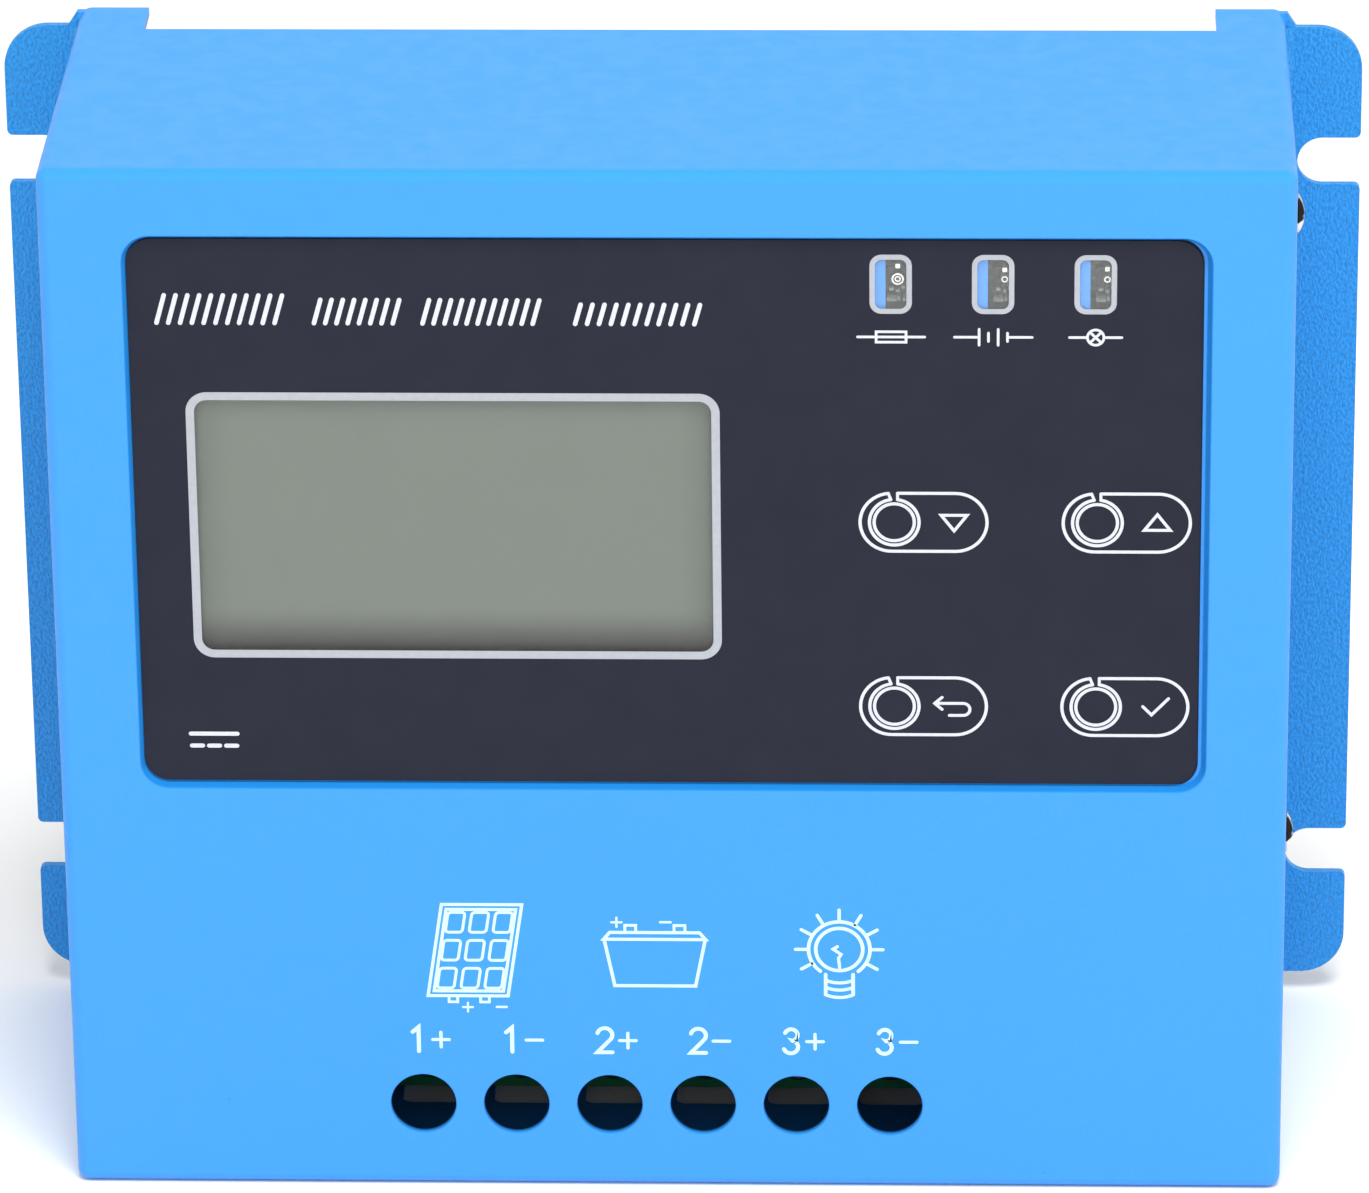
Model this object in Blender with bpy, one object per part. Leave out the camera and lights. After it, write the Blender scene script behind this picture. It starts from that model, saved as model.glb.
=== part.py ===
"""Wall-mounted solar charge controller: folded steel cover, recessed display overlay, six screw terminals.

Frame: origin at the middle of the bottom face, X across the front, Z up, the front faces -Y.
Lengths below are millimetres. "Depth" is measured backwards from the front face of the cover.
"""

import math

import bmesh
import bpy
from mathutils import Matrix, Vector

MM = 0.001

# Folded cover
WIDTH = 168.3
HEIGHT = 151.85
DEPTH = 63.7
SHEET = 1.2
CLEARANCE = 0.3             # gap between pieces that meet
BEYOND = 1.0                # how far a cutting shape runs past what it cuts
EDGE_RADIUS = 1.5
SHORT_WALL_DEPTH = 55.0     # top and bottom walls stop here, between the rear tabs
TAB_WIDTH = 9.7

# Wall ears, in the back plane
EAR_REACH = 95.0            # half of the overall width
EAR_BOTTOM, EAR_TOP = 3.2, 149.6
EAR_CORNER_RADIUS = 6.3
EAR_ROOT = 85.75            # where the ear's straight edges begin
EAR_RAMP = 2.0              # height of the slope between the side wall and those edges
SLOT_WIDTH = 7.0
SLOT_CENTRE_X = 89.7
SLOT_HEIGHTS = (22.8, 129.7)
SLOT_MOUTH_RADIUS = 0.8

# Recess pressed into the front for the overlay
RECESS_HALF_WIDTH = 73.05
RECESS_BOTTOM, RECESS_TOP = 61.1, 142.6
RECESS_RADIUS = 3.9
RECESS_DEPTH = 1.5
OVERLAY_X = (-72.45, 71.7)
OVERLAY_Z = (62.0, 141.9)
OVERLAY_RADIUS = 3.4
OVERLAY_DEPTHS = (1.0, 1.2)

# Display
WINDOW_X = (-64.7, 6.5)
WINDOW_Z = (81.0, 119.1)
GLASS_X = (-65.6, 7.6)
GLASS_Z = (79.6, 120.4)
DISPLAY_CUT_MARGIN = 0.6
DISPLAY_CUT_RADIUS = 1.5
WINDOW_RADIUS = 2.0
GLASS_DEPTHS = (2.0, 3.8)
BACKLIGHT_DEPTHS = (4.1, 6.3)
BEZEL_DEPTHS = (3.2, 6.3)
BEZEL_WIDTH = 4.0

# Indicator windows
LED_WINDOW_X = (30.06, 43.75, 57.45)
LED_WINDOW_SIZE = (5.7, 8.3)
LED_WINDOW_Z = 135.55
LED_WINDOW_RADIUS = 1.4
LED_SLOT_OFFSET = 2.25      # the steel slots sit to the right of the overlay's windows
LED_SLOT_SIZE = (6.0, 9.6)
LED_SLOT_RADIUS = 1.0
LED_OFFSET = 1.15
LED_DROP = 0.6              # the lamps sit this far below their windows' middles
LED_SIZE = (3.2, 2.8)
LED_FRONT = 4.5
LED_CUP_RADIUS, LED_CUP_BOTTOM = 1.0, 5.2

# Keys
KEY_COLUMNS = {"left": 30.45, "right": 57.9}
KEY_ROWS = {"upper": 100.95, "lower": 73.6}
KEY_NAMES = {
    ("left", "upper"): "down",
    ("right", "upper"): "up",
    ("left", "lower"): "escape",
    ("right", "lower"): "set",
}
KEY_CAP_RADIUS = 2.55
KEY_CAP_DEPTH = 0.98        # front of a cap at rest
KEY_CAP_CHAMFER = 0.15
KEY_FLANGE_RADIUS = 3.4
KEY_FLANGE_DEPTHS = (1.75, 2.3)
KEY_STEM_RADIUS = 1.5
KEY_STEM_END = 4.6
KEY_TRAVEL = 0.5
KEY_HOLE_RADIUS = 4.0
KEY_SWITCH_FRONT = 4.3
KEY_SWITCH_HALF = 3.0

# Boards
DISPLAY_BOARD_X = (-74.0, 72.0)
DISPLAY_BOARD_Z = (66.0, 141.5)
DISPLAY_BOARD_DEPTHS = (6.6, 8.2)
DISPLAY_STUD_X, DISPLAY_STUD_Z = 69.2, (68.6, 138.8)
DISPLAY_STUD_RADII = (2.4, 1.2)
DISPLAY_STUD_END = 10.0
DISPLAY_STUD_HOLE = 1.5
MAIN_BOARD_X = (-72.0, 72.0)
MAIN_BOARD_Z = (6.0, 142.0)
MAIN_BOARD_DEPTHS = (37.9, 39.5)
BOARD_POST_X, BOARD_POST_Z = 66.0, (33.0, 136.0)
BOARD_POST_RADII = (1.5, 3.0)
BOARD_POST_FRONT = 35.5
BOARD_POST_HOLE = 1.8

# Power parts on the main board
CAPACITOR_X = (-18.0, 2.0, 22.0)
CAPACITOR_Z = 46.0
CAPACITOR_RADIUS, CAPACITOR_FRONT = 8.0, 14.0
CAPACITOR_RIM = 0.6
CAPACITOR_GROOVE = (33.6, 35.4)
INDUCTOR_CENTRE, INDUCTOR_DEPTH = (-34.0, 92.0), 30.0
CORE_RADII, CORE_HALF_HEIGHT = (16.0, 9.0), 5.5
WINDING_WALL, WINDING_GAP = 1.8, 0.4
WINDING_START, WINDING_END = -65, 245
TRANSISTOR_X = (-20.0, 10.0)
TRANSISTOR_Z = (96.0, 111.0)
TRANSISTOR_HALF_WIDTH, TRANSISTOR_THICKNESS = 5.0, 4.5
LEAD_PITCH, LEAD_HALF_WIDTH = 2.54, 0.4
LEAD_Z = (91.2, 92.0, 97.0)     # outside of the bend, inside of the bend, inside the package
LEAD_BEND = (1.5, 2.2)          # behind the front of the package
CONNECTOR_X, CONNECTOR_Z = (22.0, 48.0), (118.0, 123.0)
CONNECTOR_DEPTHS = (8.5, 16.5)

# Terminals
TERMINALS = 6
TERMINAL_PITCH = 13.0
TERMINAL_MIDDLE_X = -2.76
TERMINAL_Z = 12.75
DRIVER_HOLE_RADIUS = 4.55
HOUSING_Z = (8.8, 27.0)
HOUSING_DEPTHS = (13.4, 37.4)
SCREW_BORE_RADIUS = 2.8
THREAD_BORE_RADIUS = 1.9
THREAD_DEPTHS = (20.8, 23.8)
WIRE_POCKET_HALF_WIDTH = 4.3
WIRE_POCKET_TOP = 21.0
WIRE_POCKET_DEPTHS = (23.8, 35.4)
CLAMPED_HEAD_DEPTH = 16.3   # head of a screw at rest
OPEN_HEAD_DEPTH = 13.0      # head of a screw backed fully off
BACKED_OFF = 4              # index of the terminal left open
SLOT_CUT_DEPTH, SLOT_CUT_HALF_WIDTH = 1.0, 0.4
HEAD_RADIUS, HEAD_HEIGHT = 2.5, 2.2
SHANK_RADIUS, SHANK_LENGTH = 1.5, 8.6
PLATE_HALF_WIDTH, PLATE_THICKNESS = 3.8, 1.2
PLATE_Z = (9.0, 20.5)
WIRE_ENTRY_HALF_WIDTH = 4.7
WIRE_ENTRY_DEPTHS = (23.0, 36.4)
WIRE_ENTRY_RADIUS = 1.5

# Chassis tray, heatsink and cover screws
TRAY_HALF_WIDTH = 82.45
TRAY_DEPTHS = (53.4, 54.6)
TRAY_Z = (1.7, 150.3)
FLANGE_FRONT = 30.0
FLANGE_Z = (8.0, 144.0)
COVER_SCREW_DEPTH = 36.0
COVER_SCREW_HEIGHTS = (38.5, 132.2)
COVER_SCREW_HEAD = (2.9, 2.0)   # radius and height
COVER_SCREW_STANDOFF = 0.15
COVER_SCREW_LENGTH = 8.0
HOLE_CLEARANCE = 0.25
HEATSINK_HALF_WIDTH = 62.0
HEATSINK_Z = (16.0, 136.0)
HEATSINK_BASE = (54.9, 57.6)
FIN_TIP = 63.1
FIN_COUNT = 13
FIN_THICKNESS = 1.6
HEATSINK_SCREW_X, HEATSINK_SCREW_Z = 42.0, 76.0
HEATSINK_SCREW_RADII, HEATSINK_SCREW_HEAD = (2.2, 2.8), (2.0, 1.2)
HEATSINK_SCREW_END, HEATSINK_HOLE_END = 56.6, 57.0

# Side ventilation slots
VENT_COUNT = 6
VENT_PITCH = 8.0
VENT_SIZE = (18.0, 2.6)
VENT_ROUNDING = 0.475
VENT_DEPTH = 17.0
VENT_MIDDLE_Z = 84.0


def y_at(depth):
    """Y coordinate, in millimetres, of a depth behind the front face."""
    return depth - DEPTH / 2


def y_range(depths):
    return y_at(depths[0]), y_at(depths[1])


def at_depths(profile):
    """A turned profile given as (radius, depth) points, with its depths as Y coordinates."""
    return [(radius, y_at(depth)) for radius, depth in profile]


def about(middle, half):
    return middle - half, middle + half


def inset(span, amount):
    return span[0] + amount, span[1] - amount


def terminal_x(index):
    return TERMINAL_MIDDLE_X + (index - (TERMINALS - 1) / 2) * TERMINAL_PITCH


def paint(name, colour, roughness, metallic=0.0):
    material = bpy.data.materials.new(name)
    material.use_nodes = True
    shader = material.node_tree.nodes["Principled BSDF"]
    shader.inputs["Base Color"].default_value = (*colour, 1.0)
    shader.inputs["Roughness"].default_value = roughness
    shader.inputs["Metallic"].default_value = metallic
    material.diffuse_color = (*colour, 1.0)
    return material


# ---------------------------------------------------------------- outlines

def arc(centre, radius, start, end, steps):
    """Points on an arc, angles in degrees."""
    turn = [math.radians(start + (end - start) * i / steps) for i in range(steps + 1)]
    return [(centre[0] + radius * math.cos(t), centre[1] + radius * math.sin(t)) for t in turn]


def circle(centre, radius, steps=24):
    return arc(centre, radius, 0, 360, steps)[:-1]


def rectangle(u, v):
    return [(u[0], v[0]), (u[1], v[0]), (u[1], v[1]), (u[0], v[1])]


def rounded(u, v, radius, steps=5):
    """Rectangle with rounded corners."""
    corners = ((u[1], v[0], 270), (u[1], v[1], 0), (u[0], v[1], 90), (u[0], v[0], 180))
    points = []
    for cu, cv, start in corners:
        centre = (
            cu - radius if cu == u[1] else cu + radius,
            cv - radius if cv == v[1] else cv + radius,
        )
        points += arc(centre, radius, start, start + 90, steps)
    return points


# ---------------------------------------------------------------- closed shapes

def place(axis, u, v, along):
    """Point from an outline's (u, v) and its distance along the axis, in metres."""
    point = {"X": (along, u, v), "Y": (u, along, v), "Z": (u, v, along)}[axis]
    return Vector(point) * MM


def prism(bm, outline, axis, span):
    """The outline swept along an axis. Its (u, v) are (Y, Z), (X, Z) or (X, Y) for axis X, Y or Z."""
    near = [bm.verts.new(place(axis, u, v, span[0])) for u, v in outline]
    far = [bm.verts.new(place(axis, u, v, span[1])) for u, v in outline]
    count = len(outline)
    faces = [bm.faces.new(near), bm.faces.new(list(reversed(far)))]
    for i in range(count):
        j = (i + 1) % count
        faces.append(bm.faces.new((near[j], near[i], far[i], far[j])))
    bmesh.ops.recalc_face_normals(bm, faces=faces)


def block(bm, x, y, z):
    prism(bm, rectangle(x, y), "Z", z)


def turned(bm, profile, axis, centre, steps=24):
    """Solid of revolution: the profile is (radius, along) from one end on the axis to the other."""
    rings = []
    for radius, along in profile:
        if radius == 0:
            rings.append([bm.verts.new(place(axis, *centre, along))])
        else:
            rings.append([bm.verts.new(place(axis, u, v, along)) for u, v in circle(centre, radius, steps)])
    faces = []
    for low, high in zip(rings, rings[1:]):
        for i in range(steps):
            j = (i + 1) % steps
            corners = [low[i % len(low)], low[j % len(low)], high[j % len(high)], high[i % len(high)]]
            faces.append(bm.faces.new(list(dict.fromkeys(corners))))
    bmesh.ops.recalc_face_normals(bm, faces=faces)


# ---------------------------------------------------------------- objects

def node(name, draw, material, origin=(0.0, 0.0, 0.0), smooth=False):
    """One named sub-part. draw fills a bmesh in frame coordinates; origin is the object's own origin."""
    bm = bmesh.new()
    draw(bm)
    at = Vector(origin) * MM
    bmesh.ops.transform(bm, matrix=Matrix.Translation(-at), verts=bm.verts)
    mesh = bpy.data.meshes.new(name)
    bm.to_mesh(mesh)
    bm.free()
    mesh.materials.append(material)
    if smooth:
        mesh.shade_smooth()
        mesh.set_sharp_from_angle(angle=math.radians(35))
    thing = bpy.data.objects.new(name, mesh)
    thing.location = at
    bpy.context.scene.collection.objects.link(thing)
    return thing


def combine(target, operation, name, draw):
    """Boolean of the target with a hidden tool shape: "DIFFERENCE" cuts, "UNION" adds."""
    tool = node(f"{target.name}_{name}", draw, target.data.materials[0])
    tool.hide_render = True
    tool.display_type = "WIRE"
    modifier = target.modifiers.new(name, "BOOLEAN")
    modifier.operation = operation
    modifier.solver = "EXACT"
    modifier.object = tool


def hang(child, parent):
    """Parents the child without moving it."""
    child.parent = parent
    child.matrix_parent_inverse = Matrix.Translation(-parent.location)


def at_keys():
    for (column, row), name in KEY_NAMES.items():
        yield name, KEY_COLUMNS[column], KEY_ROWS[row]


# ---------------------------------------------------------------- cover

def cover_block(bm):
    """Outer block of the cover, with its four long and four front edges rounded."""
    block(bm, (-WIDTH / 2, WIDTH / 2), y_range((0, DEPTH)), (0, HEIGHT))
    back = y_at(DEPTH) * MM
    round_edges = [e for e in bm.edges if not all(abs(v.co.y - back) < 1e-6 for v in e.verts)]
    bmesh.ops.bevel(bm, geom=round_edges, offset=EDGE_RADIUS * MM, segments=3, profile=0.5, affect="EDGES")


def ear_outline(side):
    """Outline of one wall ear in X and Z: two open slots, rounded outer corners, ramps at the bend."""
    inner = WIDTH / 2 - SHEET * 0.7
    half = SLOT_WIDTH / 2
    ease = SLOT_MOUTH_RADIUS
    wall = WIDTH / 2 + CLEARANCE
    points = [(inner, EAR_BOTTOM - EAR_RAMP), (wall, EAR_BOTTOM - EAR_RAMP), (EAR_ROOT, EAR_BOTTOM)]
    points += arc((EAR_REACH - EAR_CORNER_RADIUS, EAR_BOTTOM + EAR_CORNER_RADIUS), EAR_CORNER_RADIUS,
                  270, 360, 6)
    for height in SLOT_HEIGHTS:
        points += arc((EAR_REACH - ease, height - half - ease), ease, 0, 90, 3)
        points += arc((SLOT_CENTRE_X, height), half, 270, 90, 10)
        points += arc((EAR_REACH - ease, height + half + ease), ease, 270, 360, 3)
    points += arc((EAR_REACH - EAR_CORNER_RADIUS, EAR_TOP - EAR_CORNER_RADIUS), EAR_CORNER_RADIUS, 0, 90, 6)
    points += [(EAR_ROOT, EAR_TOP), (wall, EAR_TOP + EAR_RAMP), (inner, EAR_TOP + EAR_RAMP)]
    return [(side * x, z) for x, z in points]


def cover_additions(bm):
    for side in (-1, 1):
        prism(bm, ear_outline(side), "Y", y_range((DEPTH - SHEET, DEPTH)))
    outline = rounded(
        (-RECESS_HALF_WIDTH - SHEET, RECESS_HALF_WIDTH + SHEET),
        (RECESS_BOTTOM - SHEET, RECESS_TOP + SHEET),
        RECESS_RADIUS + SHEET,
    )
    prism(bm, outline, "Y", y_range((SHEET / 2, RECESS_DEPTH + SHEET)))


def cover_hollow(bm):
    inside = WIDTH / 2 - SHEET
    block(bm, (-inside, inside), y_range((SHEET, DEPTH + BEYOND)), (SHEET, HEIGHT - SHEET))


def cover_short_walls(bm):
    """Cuts the top and bottom walls back between the rear tabs."""
    half = WIDTH / 2 - TAB_WIDTH
    for z in ((-BEYOND, SHEET * 1.5), (HEIGHT - SHEET * 1.5, HEIGHT + BEYOND)):
        block(bm, (-half, half), y_range((SHORT_WALL_DEPTH, DEPTH + BEYOND)), z)


def cover_recess(bm):
    outline = rounded((-RECESS_HALF_WIDTH, RECESS_HALF_WIDTH), (RECESS_BOTTOM, RECESS_TOP), RECESS_RADIUS)
    prism(bm, outline, "Y", y_range((-BEYOND, RECESS_DEPTH)))


def front_openings(bm):
    """Display, indicator, key and screwdriver holes."""
    through = y_range((-BEYOND, RECESS_DEPTH + SHEET + BEYOND))
    display_x, display_z = inset(GLASS_X, -DISPLAY_CUT_MARGIN), inset(GLASS_Z, -DISPLAY_CUT_MARGIN)
    prism(bm, rounded(display_x, display_z, DISPLAY_CUT_RADIUS, 3), "Y", through)
    width, height = LED_SLOT_SIZE
    for x in LED_WINDOW_X:
        slot_x, slot_z = about(x + LED_SLOT_OFFSET, width / 2), about(LED_WINDOW_Z, height / 2)
        prism(bm, rounded(slot_x, slot_z, LED_SLOT_RADIUS, 3), "Y", through)
    for _, x, z in at_keys():
        prism(bm, circle((x, z), KEY_HOLE_RADIUS, 20), "Y", through)
    for index in range(TERMINALS):
        prism(bm, circle((terminal_x(index), TERMINAL_Z), DRIVER_HOLE_RADIUS, 28), "Y", through)


def wire_entries(bm):
    for index in range(TERMINALS):
        entry = rounded(about(terminal_x(index), WIRE_ENTRY_HALF_WIDTH), y_range(WIRE_ENTRY_DEPTHS),
                        WIRE_ENTRY_RADIUS, 3)
        prism(bm, entry, "Z", (-BEYOND, SHEET + BEYOND))


def side_openings(bm):
    """Screw holes and ventilation slots in the side walls."""
    for side in (-1, 1):
        wall = sorted((side * (WIDTH / 2 - SHEET - BEYOND), side * (WIDTH / 2 + BEYOND)))
        for height in COVER_SCREW_HEIGHTS:
            hole = circle((y_at(COVER_SCREW_DEPTH), height), SHANK_RADIUS + HOLE_CLEARANCE, 16)
            prism(bm, hole, "X", wall)
        length, height = VENT_SIZE
        for index in range(VENT_COUNT):
            middle = VENT_MIDDLE_Z + (index - (VENT_COUNT - 1) / 2) * VENT_PITCH
            vent_y, vent_z = y_range(about(VENT_DEPTH, length / 2)), about(middle, height / 2)
            prism(bm, rounded(vent_y, vent_z, height * VENT_ROUNDING, 3), "X", wall)


def build_cover(material):
    cover = node("front_cover", cover_block, material)
    combine(cover, "DIFFERENCE", "hollow", cover_hollow)
    combine(cover, "DIFFERENCE", "short_walls", cover_short_walls)
    combine(cover, "UNION", "additions", cover_additions)
    combine(cover, "DIFFERENCE", "recess", cover_recess)
    combine(cover, "DIFFERENCE", "front_openings", front_openings)
    combine(cover, "DIFFERENCE", "wire_entries", wire_entries)
    combine(cover, "DIFFERENCE", "side_openings", side_openings)


def build_cover_screws(material):
    """Four pan-head screws with cross recesses, through the side walls into the tray's flanges."""
    radius, height = COVER_SCREW_HEAD
    y = y_at(COVER_SCREW_DEPTH)
    face = WIDTH / 2 + COVER_SCREW_STANDOFF
    tip = face - COVER_SCREW_LENGTH
    profile = [(0, tip), (SHANK_RADIUS, tip), (SHANK_RADIUS, face), (radius, face),
               (radius, face + height * 0.4), (radius * 0.8, face + height * 0.85),
               (radius * 0.4, face + height), (0, face + height)]
    arm, half = radius * 0.55, radius * 0.12
    cross = [(half, -arm), (half, -half), (arm, -half), (arm, half), (half, half), (half, arm)]
    cross += [(-u, -v) for u, v in cross]
    for side, side_name in ((-1, "left"), (1, "right")):
        for z, level in zip(COVER_SCREW_HEIGHTS, ("lower", "upper")):

            def draw(bm, side=side, z=z):
                turned(bm, [(r, side * x) for r, x in profile], "X", (y, z), 20)

            def recess(bm, side=side, z=z):
                span = sorted((side * (face + height * 0.35), side * (face + height + BEYOND)))
                prism(bm, [(y + u, z + v) for u, v in cross], "X", span)

            screw = node(f"cover_screw_{side_name}_{level}", draw, material, smooth=True)
            combine(screw, "DIFFERENCE", "recess", recess)


# ---------------------------------------------------------------- overlay, display and keys

def build_overlay(material):
    def film(bm):
        prism(bm, rounded(OVERLAY_X, OVERLAY_Z, OVERLAY_RADIUS), "Y", y_range(OVERLAY_DEPTHS))

    def windows(bm):
        through = y_range(inset(OVERLAY_DEPTHS, -BEYOND))
        prism(bm, rounded(WINDOW_X, WINDOW_Z, WINDOW_RADIUS, 4), "Y", through)
        width, height = LED_WINDOW_SIZE
        for x in LED_WINDOW_X:
            window_x, window_z = about(x, width / 2), about(LED_WINDOW_Z, height / 2)
            prism(bm, rounded(window_x, window_z, LED_WINDOW_RADIUS, 3), "Y", through)
        for _, x, z in at_keys():
            prism(bm, circle((x, z), KEY_CAP_RADIUS + CLEARANCE, 24), "Y", through)

    overlay = node("front_overlay", film, material)
    combine(overlay, "DIFFERENCE", "windows", windows)


def build_display(clear, dark, glass, white):
    """Clear window, bezel frame, liquid crystal glass and its backlight."""
    def window(bm):
        window_x, window_z = inset(WINDOW_X, CLEARANCE), inset(WINDOW_Z, CLEARANCE)
        prism(bm, rounded(window_x, window_z, WINDOW_RADIUS - CLEARANCE, 4), "Y", y_range(OVERLAY_DEPTHS))

    def frame(bm):
        block(bm, inset(GLASS_X, -BEZEL_WIDTH), y_range(BEZEL_DEPTHS), inset(GLASS_Z, -BEZEL_WIDTH))

    def opening(bm):
        through = y_range(inset(BEZEL_DEPTHS, -BEYOND))
        block(bm, inset(GLASS_X, -CLEARANCE), through, inset(GLASS_Z, -CLEARANCE))

    node("display_window", window, clear)
    node("display_glass", lambda bm: block(bm, GLASS_X, y_range(GLASS_DEPTHS), GLASS_Z), glass)
    node("display_backlight", lambda bm: block(bm, GLASS_X, y_range(BACKLIGHT_DEPTHS), GLASS_Z), white)
    bezel = node("display_bezel", frame, dark)
    combine(bezel, "DIFFERENCE", "opening", opening)


def build_keys(cap_material, switch_material):
    """Each key: a cap in the overlay's hole with a flange behind it, and a switch that its stem presses."""
    flange_front, flange_back = KEY_FLANGE_DEPTHS
    profile = [(0, KEY_CAP_DEPTH), (KEY_CAP_RADIUS - KEY_CAP_CHAMFER, KEY_CAP_DEPTH),
               (KEY_CAP_RADIUS, KEY_CAP_DEPTH + KEY_CAP_CHAMFER), (KEY_CAP_RADIUS, flange_front),
               (KEY_FLANGE_RADIUS, flange_front), (KEY_FLANGE_RADIUS, flange_back),
               (KEY_STEM_RADIUS, flange_back), (KEY_STEM_RADIUS, KEY_STEM_END), (0, KEY_STEM_END)]
    switch_depths = (KEY_SWITCH_FRONT, DISPLAY_BOARD_DEPTHS[0] - CLEARANCE)
    well_depths = (KEY_SWITCH_FRONT - BEYOND, KEY_STEM_END + KEY_TRAVEL + CLEARANCE)
    for name, x, z in at_keys():

        def switch_body(bm, x=x, z=z):
            block(bm, about(x, KEY_SWITCH_HALF), y_range(switch_depths), about(z, KEY_SWITCH_HALF))

        def well(bm, x=x, z=z):
            prism(bm, circle((x, z), KEY_STEM_RADIUS + CLEARANCE, 16), "Y", y_range(well_depths))

        node(f"key_{name}", lambda bm, x=x, z=z: turned(bm, at_depths(profile), "Y", (x, z), 28),
             cap_material, origin=(x, y_at(KEY_CAP_DEPTH), z), smooth=True)
        switch = node(f"key_switch_{name}", switch_body, switch_material)
        combine(switch, "DIFFERENCE", "well", well)


def build_indicators(material):
    """Surface-mounted lamps: a block with a round cup in its face."""
    depths = y_range((LED_FRONT, DISPLAY_BOARD_DEPTHS[0] - CLEARANCE))
    cup_depths = y_range((LED_FRONT - BEYOND, LED_CUP_BOTTOM))
    z = LED_WINDOW_Z - LED_DROP
    for name, window_x in zip(("error", "charge", "load"), LED_WINDOW_X):
        x = window_x + LED_OFFSET

        def body(bm, x=x):
            block(bm, about(x, LED_SIZE[0] / 2), depths, about(z, LED_SIZE[1] / 2))

        lamp = node(f"indicator_{name}", body, material)
        combine(lamp, "DIFFERENCE", "cup",
                lambda bm, x=x: prism(bm, circle((x, z), LED_CUP_RADIUS, 16), "Y", cup_depths))


# ---------------------------------------------------------------- boards

def corners(x, heights):
    return [(side * x, z) for side in (-1, 1) for z in heights]


def drilled_board(name, x, depths, z, places, hole_radius, material):
    board = node(name, lambda bm: block(bm, x, y_range(depths), z), material)

    def holes(bm):
        for place_of in places:
            prism(bm, circle(place_of, hole_radius, 12), "Y", y_range(inset(depths, -BEYOND)))

    combine(board, "DIFFERENCE", "holes", holes)


def stepped_pins(name, profile, places, material):
    """The same turned pin, given as (radius, depth) points, at each place."""
    for index, place_of in enumerate(places, 1):
        node(f"{name}_{index}", lambda bm, at=place_of: turned(bm, at_depths(profile), "Y", at, 16),
             material, smooth=True)


def build_boards(board_material, metal):
    studs = corners(DISPLAY_STUD_X, DISPLAY_STUD_Z)
    drilled_board("display_board", DISPLAY_BOARD_X, DISPLAY_BOARD_DEPTHS, DISPLAY_BOARD_Z, studs,
                  DISPLAY_STUD_HOLE, board_material)
    front = RECESS_DEPTH + SHEET + CLEARANCE
    shoulder = DISPLAY_BOARD_DEPTHS[0] - CLEARANCE
    wide, narrow = DISPLAY_STUD_RADII
    stud = [(0, front), (wide, front), (wide, shoulder), (narrow, shoulder), (narrow, DISPLAY_STUD_END),
            (0, DISPLAY_STUD_END)]
    stepped_pins("display_stud", stud, studs, metal)
    posts = corners(BOARD_POST_X, BOARD_POST_Z)
    drilled_board("main_board", MAIN_BOARD_X, MAIN_BOARD_DEPTHS, MAIN_BOARD_Z, posts, BOARD_POST_HOLE,
                  board_material)
    seat = MAIN_BOARD_DEPTHS[1] + CLEARANCE
    back = TRAY_DEPTHS[0] - CLEARANCE
    narrow, wide = BOARD_POST_RADII
    post = [(0, BOARD_POST_FRONT), (narrow, BOARD_POST_FRONT), (narrow, seat), (wide, seat), (wide, back),
            (0, back)]
    stepped_pins("board_post", post, posts, metal)


def build_capacitors(sleeve):
    front, foot = CAPACITOR_FRONT, MAIN_BOARD_DEPTHS[0] - CLEARANCE
    radius, rim = CAPACITOR_RADIUS, CAPACITOR_RIM
    groove_front, groove_back = CAPACITOR_GROOVE
    can = [(0, front), (radius - rim, front), (radius, front + rim), (radius, groove_front),
           (radius - rim, groove_front + rim), (radius - rim, groove_back - rim), (radius, groove_back),
           (radius, foot), (0, foot)]
    for index, x in enumerate(CAPACITOR_X, 1):
        node(f"capacitor_{index}", lambda bm, x=x: turned(bm, at_depths(can), "Y", (x, CAPACITOR_Z), 24),
             sleeve, smooth=True)


def build_inductor(ferrite, copper):
    """Ring core and the open sleeve of its winding."""
    outer, inner = CORE_RADII
    half, gap, wall = CORE_HALF_HEIGHT, WINDING_GAP, WINDING_WALL

    def ring_sector(bm, radii, half_height, start, end):
        outline = arc(INDUCTOR_CENTRE, radii[0], start, end, 30)
        outline += arc(INDUCTOR_CENTRE, radii[1], end, start, 30)
        prism(bm, outline, "Y", y_range(about(INDUCTOR_DEPTH, half_height)))

    def disc(bm, radius, half_height):
        prism(bm, circle(INDUCTOR_CENTRE, radius, 32), "Y", y_range(about(INDUCTOR_DEPTH, half_height)))

    def winding_body(bm):
        radii = outer + gap + wall, inner - gap - wall
        ring_sector(bm, radii, half + gap + wall, WINDING_START, WINDING_END)

    def core_space(bm):
        ring_sector(bm, (outer + gap, inner - gap), half + gap, WINDING_START - BEYOND, WINDING_END + BEYOND)

    core = node("inductor_core", lambda bm: disc(bm, outer, half), ferrite, smooth=True)
    combine(core, "DIFFERENCE", "bore", lambda bm: disc(bm, inner, half + BEYOND))
    winding = node("inductor_winding", winding_body, copper, smooth=True)
    combine(winding, "DIFFERENCE", "core_space", core_space)


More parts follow.
